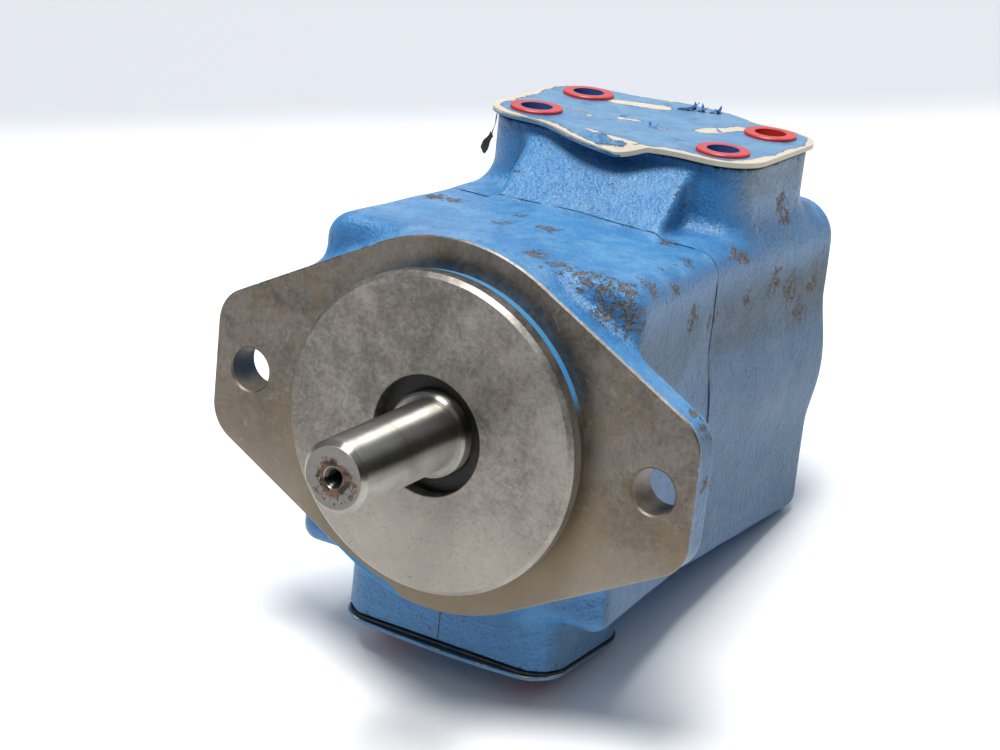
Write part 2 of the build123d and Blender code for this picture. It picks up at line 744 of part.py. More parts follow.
inlet_holes = (inlet_bolt_span_x, inlet_bolt_span_y, inlet_bolt_radius)
inlet_gasket = port_pad(inlet_pad_half_x + gasket_margin, inlet_pad_half_y + gasket_margin,
                        inlet_pad_corner, 0)
inlet_gasket = holed(inlet_gasket, *inlet_holes) - Circle(inlet_port_radius)
inlet_sheet = closure_outline(inlet_pad_half_x + inlet_closure_margin_x,
                              inlet_pad_half_y + inlet_closure_margin_y, inlet_pad_corner)
inlet_sheet = holed(inlet_sheet + Circle(inlet_closure_bulge), *inlet_holes)
inlet_plug = Pos(0, inlet_y, inlet_rim_z) * push_plug(inlet_bolt_radius)

outlet_holes = (outlet_bolt_span_x, outlet_bolt_span_y, outlet_bolt_radius)
outlet_gasket = port_pad(outlet_pad_half_x + gasket_margin, outlet_pad_half_y + gasket_margin,
                         outlet_pad_corner, 0)
outlet_gasket = holed(outlet_gasket, *outlet_holes) - Circle(outlet_port_radius)
outlet_sheet = closure_outline(outlet_pad_half_x + outlet_closure_margin_x,
                               outlet_pad_half_y + outlet_closure_margin_y, outlet_pad_corner)
outlet_sheet = holed(outlet_sheet, *outlet_holes)
outlet_plug = Pos(0, outlet_y, -inlet_rim_z) * Rot(180, 0, 0) * push_plug(outlet_bolt_radius)

nodes = {
    "front_housing": make_front_housing(),
    "rear_cover": make_rear_cover(),
    "cover_bolts": make_cover_bolts(),
    "joint_o_ring": torus_at(joint_ring_radius, joint_ring_section, joint_y - joint_ring_section),
    "drive_shaft": make_shaft(),
    "shaft_seal_case": make_seal_case(),
    "shaft_seal_lip": make_seal_lip(),
    "seal_garter_spring": torus_at(
        shaft_land_radius + 2 * seal_land_clearance + lip_back_thickness + garter_section,
        garter_section, seal_front_y + lip_edge_y),
    "bearing_outer_ring": race(bearing_pitch_radius + race_shoulder, bearing_outer_radius),
    "bearing_inner_ring": race(bearing_bore_radius, bearing_pitch_radius - race_shoulder),
    "bearing_balls": ring_of(Pos(bearing_pitch_radius, bearing_middle_y, 0) * Sphere(ball_radius),
                             ball_count),
    "bearing_cage": make_cage(),
    "bearing_retaining_ring": make_bore_ring(),
    "shaft_retaining_ring": make_shaft_ring(),
    "outlet_support_plate": make_outlet_plate(),
    "inlet_support_plate": make_inlet_plate(),
    "cam_ring": make_cam_ring(),
    "rotor": make_rotor(),
    "vane_inserts": ring_of(make_insert(), vane_count),
    "dowel_pins": make_dowels(),
    "cartridge_screws": make_cartridge_screws(),
    "shaft_tail_bush": tube(tail_bore_radius, tail_bore_radius + tail_bush_wall,
                            inlet_plate_y + tail_bush_setback, cartridge_end_y),
    "plate_rim_o_ring": torus_at(cartridge_radius - rim_ring_section, rim_ring_section, rim_ring_y),
    "plate_rim_backup_ring": tube(cartridge_radius - 2 * rim_ring_section, cartridge_radius,
                                  rim_ring_y + rim_ring_section,
                                  rim_ring_y + rim_ring_section + rim_backup_thickness),
    "plate_hub_o_ring": torus_at(plate_hub_radius - hub_ring_section, hub_ring_section, plate_hub_ring_y),
    "inlet_gasket": Pos(0, inlet_y) * column(inlet_gasket, port_face_height, inlet_sheet_z),
    "inlet_closure_plate": Pos(0, inlet_y) * column(inlet_sheet, inlet_sheet_z, inlet_rim_z),
    "outlet_gasket": Pos(0, outlet_y) * column(outlet_gasket, -inlet_sheet_z, -port_face_height),
    "outlet_closure_plate": Pos(0, outlet_y) * column(outlet_sheet, -inlet_rim_z, -inlet_sheet_z),
    "outlet_plugs": [Pos(x, y) * outlet_plug
                     for x, y in corners(outlet_bolt_span_x / 2, outlet_bolt_span_y / 2)],
}
for number, vane in enumerate(ring_of(make_vane(), vane_count), 1):
    nodes[f"vane_{number:02d}"] = vane
for number, (x, y) in enumerate(corners(inlet_bolt_span_x / 2, inlet_bolt_span_y / 2), 1):
    nodes[f"inlet_plug_{number}"] = Pos(x, y) * inlet_plug

for name, shape in nodes.items():
    if isinstance(shape, list):
        shape = Compound(children=shape)
    export_step(shape, f"parts/{name}.step")
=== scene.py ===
"""Hydraulic vane pump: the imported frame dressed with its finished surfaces, in metres."""
import math

import bmesh
import bpy
import numpy as np
from mathutils import Matrix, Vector
from mathutils.geometry import delaunay_2d_cdt


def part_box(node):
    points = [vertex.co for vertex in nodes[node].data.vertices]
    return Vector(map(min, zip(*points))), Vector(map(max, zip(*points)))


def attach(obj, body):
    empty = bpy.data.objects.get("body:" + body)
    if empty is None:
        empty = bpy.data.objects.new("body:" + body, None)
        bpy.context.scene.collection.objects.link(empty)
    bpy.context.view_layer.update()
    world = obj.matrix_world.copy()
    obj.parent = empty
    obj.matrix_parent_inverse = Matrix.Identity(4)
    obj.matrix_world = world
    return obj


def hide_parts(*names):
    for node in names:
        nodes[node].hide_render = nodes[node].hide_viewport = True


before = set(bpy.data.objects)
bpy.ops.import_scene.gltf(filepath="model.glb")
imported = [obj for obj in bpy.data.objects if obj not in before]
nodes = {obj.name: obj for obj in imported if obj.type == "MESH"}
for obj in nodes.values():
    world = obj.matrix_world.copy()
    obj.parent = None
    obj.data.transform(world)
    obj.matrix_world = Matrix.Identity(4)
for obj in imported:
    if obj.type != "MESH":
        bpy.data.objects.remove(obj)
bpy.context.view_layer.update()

# Camera. A long lens looks down on the pump from its shaft end and its right side. The pump leans
# back on its rear cover, so against its own axes the camera is rolled a little.
camera_place = (0.36803, -0.62573, 0.26328)
camera_turn, camera_tip, camera_roll = np.radians((29.22, 18.6, 6.06))
camera_back = np.array([math.sin(camera_turn) * math.cos(camera_tip),
                        -math.cos(camera_turn) * math.cos(camera_tip), math.sin(camera_tip)])
camera_side = np.cross(-camera_back, (0, 0, 1))
camera_side /= np.linalg.norm(camera_side)
camera_down = np.cross(-camera_back, camera_side)
roll_cos, roll_sin = math.cos(camera_roll), math.sin(camera_roll)
picture_right = roll_cos * camera_side - roll_sin * camera_down
picture_down = roll_sin * camera_side + roll_cos * camera_down
camera_data = bpy.data.cameras.new("camera")
camera_data.lens = 90.99
camera_data.sensor_width = 36
camera_data.clip_end = 20


def add_object(name, data):
    """An object of the scene that holds some data."""
    thing = bpy.data.objects.new(name, data)
    bpy.context.scene.collection.objects.link(thing)
    return thing


def pose_of(right, up, back, place=(0, 0, 0)):
    """The matrix that turns an object's axes to three directions and puts it at a place."""
    pose = np.eye(4)
    pose[:3] = np.column_stack([right, up, back, place])
    return Matrix(pose.tolist())


camera = add_object("camera", camera_data)
camera.matrix_world = pose_of(picture_right, -picture_down, camera_back, camera_place)
bpy.context.scene.camera = camera


# The two castings. Sand-cast iron: a front housing with flange and outlet boss, and a rear cover
# with the inlet tower. Their outside is one smooth skin, worked out from distances to plain forms
# that are welded with fillets, and split at the joint between them. Forms are in millimetres.
joint_y, rear_y = 70.5, 162.1
inlet_y, outlet_y = 118.2, 38.1
port_face = 76.2
as_cast_face = 76.05
bolt_x = 73.025
recess_depth = 9.0
corners = [(side, other) for side in (-1, 1) for other in (-1, 1)]
cover_bolts = [(side * 41.0, other * 41.0) for side, other in corners]
inlet_bolts = [(side * 34.95, inlet_y + other * 17.85) for side, other in corners]
outlet_bolts = [(side * 26.2, outlet_y + other * 13.1) for side, other in corners]


def rounded_box(u, v, half_u, half_v, corner):
    """Distance to a rounded rectangle: offset from the corner's centre, less the corner radius."""
    du = np.abs(u) - half_u + corner
    dv = np.abs(v) - half_v + corner
    outside = np.hypot(np.maximum(du, 0), np.maximum(dv, 0))
    return outside + np.minimum(np.maximum(du, dv), 0) - corner


def weld(a, b, fillet):
    """The smaller distance, lowered by a parabola where the two differ by less than the fillet."""
    near = np.maximum(fillet - np.abs(a - b), 0) / fillet
    return np.minimum(a, b) - near * near * fillet / 4


def trim(a, b, rounding):
    """The larger distance, rounded in the same way: what is left of one form inside another."""
    return -weld(-a, -b, rounding)


def flange_plan(x, z):
    """Distance to the two-bolt flange: a tapered arm from the round middle to each ear, and the ears."""
    x, z = np.abs(x), np.abs(z)
    reach, rise, middle, ear = 73.6, 13.5, 60.0, 13.0
    run = math.hypot(reach, rise)
    lean = (middle - ear) / run
    hold = math.sqrt(1 - lean * lean)
    along = (x * reach + z * rise) / run
    aside = np.abs(z * reach - x * rise) / run
    station = hold * along - lean * aside
    arm = np.where(station < 0, np.hypot(along, aside) - middle, aside * hold + along * lean - middle)
    arm = np.where(station > hold * run, np.hypot(along - run, aside) - ear, arm)
    return np.minimum(arm, rounded_box(x, z, 86.6, 26.5, ear))


def inlet_pad_plan(x, y):
    """Distance to the outline of the inlet pad."""
    return rounded_box(x, y - inlet_y, 48.5, 29.5, 14.0)


def outlet_pad_plan(x, y):
    """Distance to the outline of the outlet pad."""
    return rounded_box(x + 0.5, y - outlet_y, 40.2, 26.0, 12.0)


def casting_distance(points):
    """Distance to both castings: drafted box and barrel, tower, ramp, boss and flange welded together."""
    x, y, z = points.T
    stations = (12.0, joint_y, rear_y)
    half = np.interp(y, stations, (57.0, 53.0, 53.5))
    rise = np.interp(y, stations, (55.5, 54.0, 55.5))
    drop = np.interp(y, stations, (57.0, 56.0, 57.5))
    corner = np.where(z > 0, np.interp(y, stations, (9.5, 8.0, 13.5)), 6.0)
    box = rounded_box(x, z - (rise - drop) / 2, half, (rise + drop) / 2, corner)
    ends = np.maximum(10.5 - y, y - rear_y)
    barrel = np.hypot(x, z) - np.interp(y, stations, (55.7, 55.7, 56.5))
    form = trim(weld(box, barrel, 2.5), ends, 6.2)
    form = weld(form, np.maximum(inlet_pad_plan(x, y), -z), 7.5)
    slope = (z - 55.3 - y + joint_y) / math.sqrt(2)
    ramp = trim(trim(np.abs(x) - 30.0, slope, 2.2), z - 73.0, 3.0)
    form = weld(form, np.maximum(np.maximum(ramp, y - 118), -z), 3.5)
    form = weld(form, np.maximum(outlet_pad_plan(x, y), z), 6.0)
    form = weld(form, trim(flange_plan(x, z), y - 11.2, 3.0), 5.0)
    form = np.maximum(form, np.maximum(np.abs(z) - as_cast_face, -y))
    for at_x, at_z in cover_bolts:
        recess = np.maximum(np.hypot(x - at_x, z - at_z) - 10.5, rear_y - recess_depth - y)
        form = trim(form, -recess, 1.5)
    for side in (-1, 1):
        form = np.maximum(form, -np.maximum(np.hypot(x - side * bolt_x, z) - 7.3, y - 20))
    return form


def gradient(distance, points, step):
    """Central differences of a distance along the three axes."""
    axes = np.eye(3) * step
    return np.stack([(distance(points + a) - distance(points - a)) / (2 * step) for a in axes], axis=1)


def add_plug(form, radius, start, end, x, other, upright):
    """A closed round bar that fills a bore of the blank, along the shaft or upright. Other is its place
    along z where it lies along the shaft, and along y where it is upright."""
    middle = (start + end) / 2
    place = Matrix.Translation((x, other, middle) if upright else (x, middle, other))
    turn = Matrix.Identity(4) if upright else Matrix.Rotation(math.pi / 2, 4, "X")
    bmesh.ops.create_cone(form, cap_ends=True, segments=48, radius1=radius, radius2=radius,
                          depth=end - start, matrix=place @ turn)


def casting_blank():
    """Even mesh of both castings with their bores filled: copies of the solids, remeshed as one."""
    form = bmesh.new()
    for name in ("front_housing", "rear_cover"):
        form.from_mesh(nodes[name].data)
    bmesh.ops.scale(form, vec=(1000, 1000, 1000), verts=form.verts)
    bmesh.ops.remove_doubles(form, verts=form.verts, dist=0.001)
    add_plug(form, 47.6, 3, 147, 0, 0, False)
    add_plug(form, 50, -6, 3, 0, 0, False)
    add_plug(form, 19.6, 30, port_face, 0, inlet_y, True)
    add_plug(form, 13.2, -port_face, -30, 0, outlet_y, True)
    for cover_bolt, inlet_bolt, outlet_bolt in zip(cover_bolts, inlet_bolts, outlet_bolts):
        add_plug(form, 6.4, 43, rear_y - recess_depth, *cover_bolt, False)
        add_plug(form, 6.7, 40, port_face, *inlet_bolt, True)
        add_plug(form, 5.1, -port_face, -40, *outlet_bolt, True)
    mesh = bpy.data.meshes.new("casting_blank")
    form.to_mesh(mesh)
    form.free()
    blank = add_object("casting_blank", mesh)
    remesh = blank.modifiers.new("even_grid", "REMESH")
    remesh.mode = "VOXEL"
    remesh.voxel_size = 1.0
    even = bpy.data.meshes.new_from_object(blank.evaluated_get(bpy.context.evaluated_depsgraph_get()))
    bpy.data.objects.remove(blank)
    return even


def points_of(mesh):
    """A mesh's vertices as an array of points."""
    flat = np.empty(len(mesh.vertices) * 3)
    mesh.vertices.foreach_get("co", flat)
    return flat.reshape(-1, 3)


def add_value(mesh, name, values):
    """A number for each vertex of a mesh, which its material reads by name."""
    mesh.attributes.new(name, "FLOAT", "POINT").data.foreach_set("value", values.astype(np.float32))


def rolling(points, size):
    """Gentle unevenness of a sand casting: a sum of sines of different direction and length."""
    x, y, z = points.T / size
    waves = np.sin(x + 1.7 * np.sin(0.8 * y)) + np.sin(1.3 * y + 1.1 * np.sin(z))
    return (waves + np.sin(0.9 * z - 0.7 * x)) / 3


skin = casting_blank()
skin_points = points_of(skin)
longest_step = 1.6
for round_number in range(9):
    missing = casting_distance(skin_points)
    uphill = gradient(casting_distance, skin_points, 0.05)
    step = uphill * (missing / np.maximum((uphill * uphill).sum(1), 0.25))[:, None]
    length = np.linalg.norm(step, axis=1)
    skin_points = skin_points - step * np.minimum(1, longest_step / np.maximum(length, 1e-9))[:, None]
uphill = gradient(casting_distance, skin_points, 0.4)
uphill /= np.maximum(np.linalg.norm(uphill, axis=1), 1e-6)[:, None]
reach = 2.5
around = sum(casting_distance(skin_points + sign * axis) for axis in np.eye(3) * reach for sign in (-1, 1))
bend = around / reach
from_machined = np.minimum(np.abs(np.abs(skin_points[:, 2]) - as_cast_face), skin_points[:, 1])
as_cast = np.clip(from_machined / 3, 0, 1)
unevenness = 0.16
skin_points = skin_points - uphill * (as_cast * unevenness * (1 + rolling(skin_points, 6.5)))[:, None]
skin.vertices.foreach_set("co", (skin_points * 0.001).ravel())


def worn_near(points, spots):
    """How worn the paint is: the strongest of round spots (x, y, z, reach), each fading from its centre."""
    worn = np.zeros(len(points))
    for x, y, z, reach in spots:
        worn = np.maximum(worn, 1 - np.linalg.norm(points - (x, y, z), axis=1) / reach)
    return worn


wear = worn_near(skin_points, [
    # front housing: the ridge over the flange, its corner, and its top
    (15, 19, 55, 9), (26, 14, 55, 8), (37, 13, 55, 8), (44, 13, 54, 7), (51, 14, 53, 6), (53, 24, 53, 6),
    (47, 10, 47, 9), (53, 11, 46, 9), (54, 39, 50, 5), (54, 52, 36, 7), (54, 52, 40, 5),
    (-11, 42, 55, 6), (-12, 55, 55, 6), (3, 46, 56, 7), (-37, 56, 54, 7), (-43, 55, 54, 7), (35, 69, 54, 6),
    # rear cover: its front corner, the side of the tower, and the right-hand side
    (49, 56, 54, 5), (51, 85, 51, 7), (52, 90, 49, 5), (54, 69, 33, 6), (30, 82, 69, 3),
    (48, 121, 60, 8), (49, 125, 56, 6), (53, 94, 35, 6),
    (54, 114, 37, 9), (54, 127, 31, 10), (54, 138, 22, 9), (54, 146, 29, 8), (54, 134, 21, 6),
    # the rim of the flange's right ear
    (84, 6, 21, 5), (86, 6, 5, 5), (80, 6, 24, 5)])
full_bend = 1.6
add_value(skin, "edge", np.clip(bend / full_bend, 0, 1))
add_value(skin, "hollow", np.clip(-bend / full_bend, 0, 1))
add_value(skin, "wear", wear)


def object_from(form, name):
    """A smooth-shaded object with edges kept sharp where its faces meet steeply."""
    mesh = bpy.data.meshes.new(name)
    form.to_mesh(mesh)
    form.free()
    mesh.polygons.foreach_set("use_smooth", [True] * len(mesh.polygons))
    mesh.set_sharp_from_angle(angle=math.radians(38))
    return add_object(name, mesh)


def casting_part(name, cuts):
    """The part of the skin behind every cut, each given by a place along y and the side that goes."""
    form = bmesh.new()
    form.from_mesh(skin)
    for place, away in cuts:
        everything = list(form.verts) + list(form.edges) + list(form.faces)
        bmesh.ops.bisect_plane(form, geom=everything, plane_co=(0, place, 0), plane_no=(0, away, 0),
                               clear_outer=True)
    under_pad = []
    for face in form.faces:
        x, y, z = np.array(face.calc_center_median()) * 1000
        if z > as_cast_face - 0.15 and inlet_pad_plan(x, y) < -1.2:
            under_pad.append(face)
    bmesh.ops.delete(form, geom=under_pad, context="FACES")
    return object_from(form, name)


flange_face_y = 0.5
front_casting = casting_part("front_casting", [(joint_y / 1000, 1), (flange_face_y / 1000, -1)])
rear_casting = casting_part("rear_casting", [(joint_y / 1000, -1)])
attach(front_casting, "housing")
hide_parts("front_housing")
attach(rear_casting, "housing")
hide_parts("rear_cover")


# The paint. Blue sprayed straight onto the rough castings: paler where dust lies, and on top as painted
# light;
# darker in hollows as painted shade; dirty grey on the right-hand side; chipped to brown primer and iron
# along the edges.
class Value:
    """An output of a shader tree that adds, subtracts and multiplies like a number."""

    def __init__(self, socket):
        self.socket = socket

    def __add__(self, other):
        return math_node("ADD", self, other)

    def __sub__(self, other):
        return math_node("SUBTRACT", self, other)

    def __rsub__(self, other):
        return math_node("SUBTRACT", other, self)

    def __mul__(self, other):
        return math_node("MULTIPLY", self, other)

    def __abs__(self):
        return math_node("ABSOLUTE", self)

    __radd__ = __add__
    __rmul__ = __mul__


def join(socket, value):
    """Links a value to a socket, or sets a plain one; a colour has three numbers and is opaque."""
    if isinstance(value, Value):
        socket.id_data.links.new(value.socket, socket)
    else:
        socket.default_value = (*value, 1) if socket.type == "RGBA" else value


def set_inputs(node, **values):
    """Joins values to a node's inputs by name, where _ stands for a space."""
    for key, value in values.items():
        join(node.inputs[key.replace("_", " ")], value)


def shade(kind, *inputs, tree=None, out=0, **settings):
    """An output of a new shader node: inputs in order, and inputs or settings by name."""
    linked = [value for value in (*inputs, *settings.values()) if isinstance(value, Value)]
    node = (tree or linked[0].socket.id_data).nodes.new("ShaderNode" + kind)
    sockets = {key: value for key, value in settings.items() if key.replace("_", " ") in node.inputs}
    for key, value in settings.items():
        if key not in sockets:
            setattr(node, key, value)
    for socket, value in zip(node.inputs, inputs):
        join(socket, value)
    set_inputs(node, **sockets)
    return Value(node.outputs[out])


def math_node(operation, *inputs):
    """One sum, product or other operation on values."""
    return shade("Math", *inputs, operation=operation)


def largest(a, b):
    """The larger of two values."""
    return math_node("MAXIMUM", a, b)


def square_root(value):
    """Square root of a value."""
    return math_node("SQRT", value)


def between(value, low, high):
    """Smooth step of a value from low to high."""
    return shade("MapRange", Value=value, From_Min=low, From_Max=high, interpolation_type="SMOOTHSTEP")


def mixed(amount, a, b):
    """Colour a turned into colour b by an amount."""
    return shade("MixRGB", amount, a, b)


def grain(where, scale, detail=2.0, rough=0.5, warp=0.0):
    """Cloudy noise from 0 to 1 at so many cells a metre."""
    return shade("TexNoise", Vector=where, Scale=scale, Detail=detail, Roughness=rough, Distortion=warp)


def axes(vector):
    """The three axes of a vector."""
    return [Value(output) for output in shade("SeparateXYZ", vector).socket.node.outputs]


def attribute(surface, name):
    """A number that each vertex of the mesh carries."""
    return shade("Attribute", tree=surface.id_data, out="Fac", attribute_name=name)


def effect(name, inputs, outputs):
    """An empty shader group, its output node and its inputs; an input without a start value is a vector."""
    group = bpy.data.node_groups.new(name, "ShaderNodeTree")
    for label, start in inputs.items():
        kind = "NodeSocketVector" if start is None else "NodeSocketFloat"
        socket = group.interface.new_socket(label, in_out="INPUT", socket_type=kind)
        if start is not None:
            socket.default_value = start
    for label in outputs:
        group.interface.new_socket(label, in_out="OUTPUT", socket_type="NodeSocketFloat")
    entry = group.nodes.new("NodeGroupInput")
    return group, group.nodes.new("NodeGroupOutput"), *(Value(entry.outputs[label]) for label in inputs)


def place_effect(group, **values):
    """An effect's node in its values' tree, with its own values; gives its outputs by name."""
    linked = next(value for value in values.values() if isinstance(value, Value))
    node = linked.socket.id_data.nodes.new("ShaderNodeGroup")
    node.node_tree = group
    set_inputs(node, **values)
    return {output.name: Value(output) for output in node.outputs}


flaking, flaking_out, spot, cells, edge, reach = effect(
    "flaking", {"Where": None, "Scale": 60.0, "Edge": 0.0, "Reach": 0.3}, ["Mask", "Rim"])
worn = 0.75 * grain(spot, cells, 5.0, 0.62, 0.4) + 0.25 * grain(spot, 4.3 * cells, 3.0) + edge * reach
set_inputs(flaking_out, Mask=between(worn, 0.65, 0.69), Rim=between(worn, 0.59, 0.665))

sand_cast, sand_cast_out, spot, cells = effect(
    "sand_cast", {"Where": None, "Cell": 900.0}, ["Height", "Pits"])
grit = grain(spot, cells, 3.0, 0.6)
lumps = grain(spot, 0.37 * cells, 2.0)
holes = shade("TexVoronoi", Vector=spot, Scale=0.5 * cells)
pits = between(holes, 0.16, 0.04) * between(lumps, 0.5, 0.62)
set_inputs(sand_cast_out, Height=0.6 * grit + 0.45 * lumps - 0.25 * pits, Pits=pits)


def new_material(name):
    """An empty material with its surface shader and object coordinates."""
    material = bpy.data.materials.new(name)
    material.use_nodes = True
    surface = material.node_tree.nodes["Principled BSDF"]
    return material, surface, shade("TexCoord", tree=surface.id_data, out="Object")


def blue_paint(name, side_dirt, pale):
    """Sprayed blue with dust, dirt, chips, painted shade in hollows and painted light on top; side dirt is
    how grey the right-hand side gets.
    """
    material, surface, where = new_material(name)
    x, y, z = axes(where)
    edge, hollow, wear = (attribute(surface, value) for value in ("edge", "hollow", "wear"))
    facing = axes(shade("NewGeometry", tree=surface.id_data, out="Normal"))
    to_right = between(facing[0], 0.6, 0.97)
    to_top = between(facing[2], 0.3, 0.95)
    cast = place_effect(sand_cast, Where=where, Cell=900.0)
    cloud = grain(where, 22.0, 4.0, 0.6, 0.6)
    mottle = grain(where, 95.0, 7.0, 0.72, 0.5)
    grit = grain(where, 820.0, 3.0, 0.7)
    colour = mixed(between(cloud, 0.3, 0.7), (0.030, 0.175, 0.42), (0.052, 0.235, 0.50))
    # Painted shade: the paint turns a deeper, darker blue in the hollows.
    colour = mixed(0.9 * hollow, colour, (0.006, 0.045, 0.17))
    # Pale mottles: dust everywhere, and more of them on up-facing surfaces as painted light from the
    # ceiling.
    colour = mixed(between(mottle, 0.40, 0.66) * (0.38 * to_top + pale), colour, (0.21, 0.42, 0.62))

    # Grey dirt on the right-hand side and on the outlet boss, thinner under the upper edge; the grey is
    # darker below about 60 mm and paler on the tower above.
    height_here = z + 0.016 * cloud
    # Painted shade: below about 27 mm the grey thins, so the side's lower band shows bluer where it steps
    # in.
    upper = between(height_here, 0.020, 0.034)
    under_edge = between(height_here, 0.042, 0.054) * between(height_here, 0.076, 0.066)
    outer = largest(between(x, 0.040, 0.047), between(z, -0.050, -0.056))
    dirt = to_right * (0.35 * between(cloud, 0.25, 0.6) + 0.6) * outer * side_dirt
    dirt = dirt * (0.68 + 0.32 * upper) * (1.0 - 0.7 * under_edge) * (1.0 - 0.8 * hollow)
    grime = 0.5 * grit + 0.5 * mottle
    dark_grime = mixed(between(grime, 0.40, 0.60), (0.020, 0.042, 0.062), (0.072, 0.108, 0.134))
    pale_grime = mixed(between(grime, 0.38, 0.62), (0.095, 0.15, 0.195), (0.26, 0.315, 0.35))
    colour = mixed(dirt, colour, mixed(between(height_here, 0.055, 0.068), dark_grime, pale_grime))
    colour = mixed(between(grit, 0.54, 0.66) * (0.35 * to_right + 0.14), colour, (0.03, 0.045, 0.065))
    # Painted shade: darker blue in the low spots of the cast relief, stronger on the right-hand side.
    sunken = between(cast["Height"], 0.52, 0.36) * (0.25 * to_right + 0.25)
    colour = mixed(sunken, colour, (0.012, 0.045, 0.11))
    smudge = between(grain(where, 55.0, 8.0, 0.75, 1.0), 0.56, 0.76)
    colour = mixed(smudge * (0.55 * to_right + 0.12), colour, (0.075, 0.072, 0.07))

    # Chips down to the primer, the bare lip at the mounting face, and painted shade in the pits of the
    # casting.
    scuffed = place_effect(flaking, Where=where, Scale=430.0, Edge=wear, Reach=0.25)
    chipped = place_effect(flaking, Where=where, Scale=240.0, Edge=edge, Reach=0.07)
    bare = largest(scuffed["Mask"], chipped["Mask"])
    primer = mixed(between(grit, 0.38, 0.64), (0.028, 0.024, 0.022), (0.19, 0.145, 0.105))
    colour = mixed(0.5 * largest(scuffed["Rim"], chipped["Rim"]), colour, (0.10, 0.13, 0.16))
    colour = mixed(0.8 * bare, colour, primer)
    lip = between(y + 0.0016 * mottle, 0.00185, 0.00165)
    colour = mixed(0.75 * lip, colour, (0.36, 0.33, 0.29))
    # Painted shade in the pits of the casting.
    colour = mixed(0.5 * cast["Pits"], colour, (0.02, 0.05, 0.11))

    # The joint between the castings, filled with paint in places, and the mould's seam on the boss.
    low = between(z, 0.024, 0.018) * to_right
    joint = between(0.00026 + 0.0006 * low - abs(y - joint_y / 1000), 0.0, 0.00014)
    joint = joint * math_node("MINIMUM", between(grain(where, 70.0, 3.0), 0.40, 0.54) + low, 1.0)
    colour = mixed(0.85 * joint, colour, (0.005, 0.02, 0.07))
    seam = between(abs(x + 0.0013), 0.00028, 0.0001) * between(z, -0.0575, -0.0585)
    seam = seam * between(y, 0.018, 0.014)
    colour = mixed(0.8 * seam, colour, (0.01, 0.02, 0.05))
    height = cast["Height"] - 0.35 * bare - 1.2 * (joint + seam)
    set_inputs(surface, Base_Color=colour, Roughness=0.12 * cloud + 0.26 + 0.25 * dirt + 0.3 * bare,
               Normal=shade("Bump", Strength=1.0, Distance=0.00085, Height=height), Specular_IOR_Level=0.5)
    return material


front_casting.data.materials.append(blue_paint("front_paint", 0.8, 0.04))
rear_casting.data.materials.append(blue_paint("rear_paint", 0.95, 0.05))


# Mounting face and spigot. The front of the flange is turned bare iron with two through holes; the
# spigot in its middle has a bevelled land, an undercut at its root and the pocket of the shaft seal.
def round_angles(count):
    """Evenly spaced angles of a full turn."""
    return np.linspace(0, 2 * math.pi, count, endpoint=False)


def outline_at(plan, inset, centre, count=720):
    """Closed line where a plan's distance is minus the inset, found by halving along rays."""
    angle = round_angles(count)
    low, high = np.zeros(count), np.full(count, 120.0)
    for halving in range(40):
        reach = (low + high) / 2
        inside = plan(centre[0] + reach * np.cos(angle), centre[1] + reach * np.sin(angle)) < -inset
        low, high = np.where(inside, reach, low), np.where(inside, high, reach)
    return np.stack([centre[0] + low * np.cos(angle), centre[1] + low * np.sin(angle)], axis=1)


def circle(x, y, radius, count=96):
    """Points of a circle."""
    angle = round_angles(count)
    return np.stack([x + radius * np.cos(angle), y + radius * np.sin(angle)], axis=1)


def sheet_mesh(outline, holes, spacing):
    """Triangles on a grid that fill an outline around round holes (x, y, radius)."""
    loops = [outline] + [circle(*hole) for hole in holes]
    edges, start = [], 0
    for loop in loops:
        index = np.arange(len(loop)) + start
        edges.extend(zip(index.tolist(), np.roll(index, -1).tolist()))
        start += len(loop)
    low, high = outline.min(0), outline.max(0)
    steps = [np.arange(low[axis], high[axis], spacing) for axis in range(2)]
    grid = np.stack(np.meshgrid(*steps, indexing="ij"), axis=-1).reshape(-1, 2)
    for x, y, radius in holes:
        grid = grid[np.hypot(grid[:, 0] - x, grid[:, 1] - y) > radius + spacing / 2]
    points = [tuple(point) for point in np.concatenate([*loops, grid]).tolist()]
    found = delaunay_2d_cdt(points, edges, [list(range(len(outline)))], 1, 1e-6)
    flat, faces = np.array([tuple(point) for point in found[0]]), np.array(found[2])
    for x, y, radius in holes:
        middle = flat[faces].mean(1)
        faces = faces[np.hypot(middle[:, 0] - x, middle[:, 1] - y) > radius * 0.999]
    used, renumbered = np.unique(faces, return_inverse=True)
    return flat[used], renumbered.reshape(-1, 3)


def piece_from(name, points, faces, body, material, slot_name, sharp=38.0):
    """A piece from points in millimetres and faces; it rides on a body and has one material."""
    form = bmesh.new()
    mesh = bpy.data.meshes.new(name)
    mesh.from_pydata((np.asarray(points) * 0.001).tolist(), [], [list(face) for face in faces])
    form.from_mesh(mesh)
    bpy.data.meshes.remove(mesh)
    bmesh.ops.remove_doubles(form, verts=form.verts, dist=1e-7)
    bmesh.ops.delete(form, geom=[v for v in form.verts if not v.link_faces], context="VERTS")
    piece = object_from(form, name)
    piece.data.set_sharp_from_angle(angle=math.radians(sharp))
    piece.data.materials.append(material)
    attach(piece, body)
    return piece


def turned(profile, steps, place=(0, 0, 0), upright=False):
    """Points and faces of a profile of (radius, height) turned about the shaft axis or an upright one.
    Seen from outside, height runs along the axis; a profile that climbs at a larger radius faces out."""
    profile = np.array(profile, float)
    angle = round_angles(steps)[:, None]
    radius, height = profile[:, 0][None, :], profile[:, 1][None, :] + 0 * angle
    u, v = radius * np.cos(angle), radius * np.sin(angle)
    points = np.stack([u, v, height] if upright else [u, height, -v], axis=-1).reshape(-1, 3)
    ring, station = np.meshgrid(np.arange(steps), np.arange(len(profile) - 1), indexing="ij")
    here, after = ring * len(profile) + station, (ring + 1) % steps * len(profile) + station
    faces = np.stack([here, after, after + 1, here + 1], axis=-1).reshape(-1, 4)
    return points + np.array(place), faces


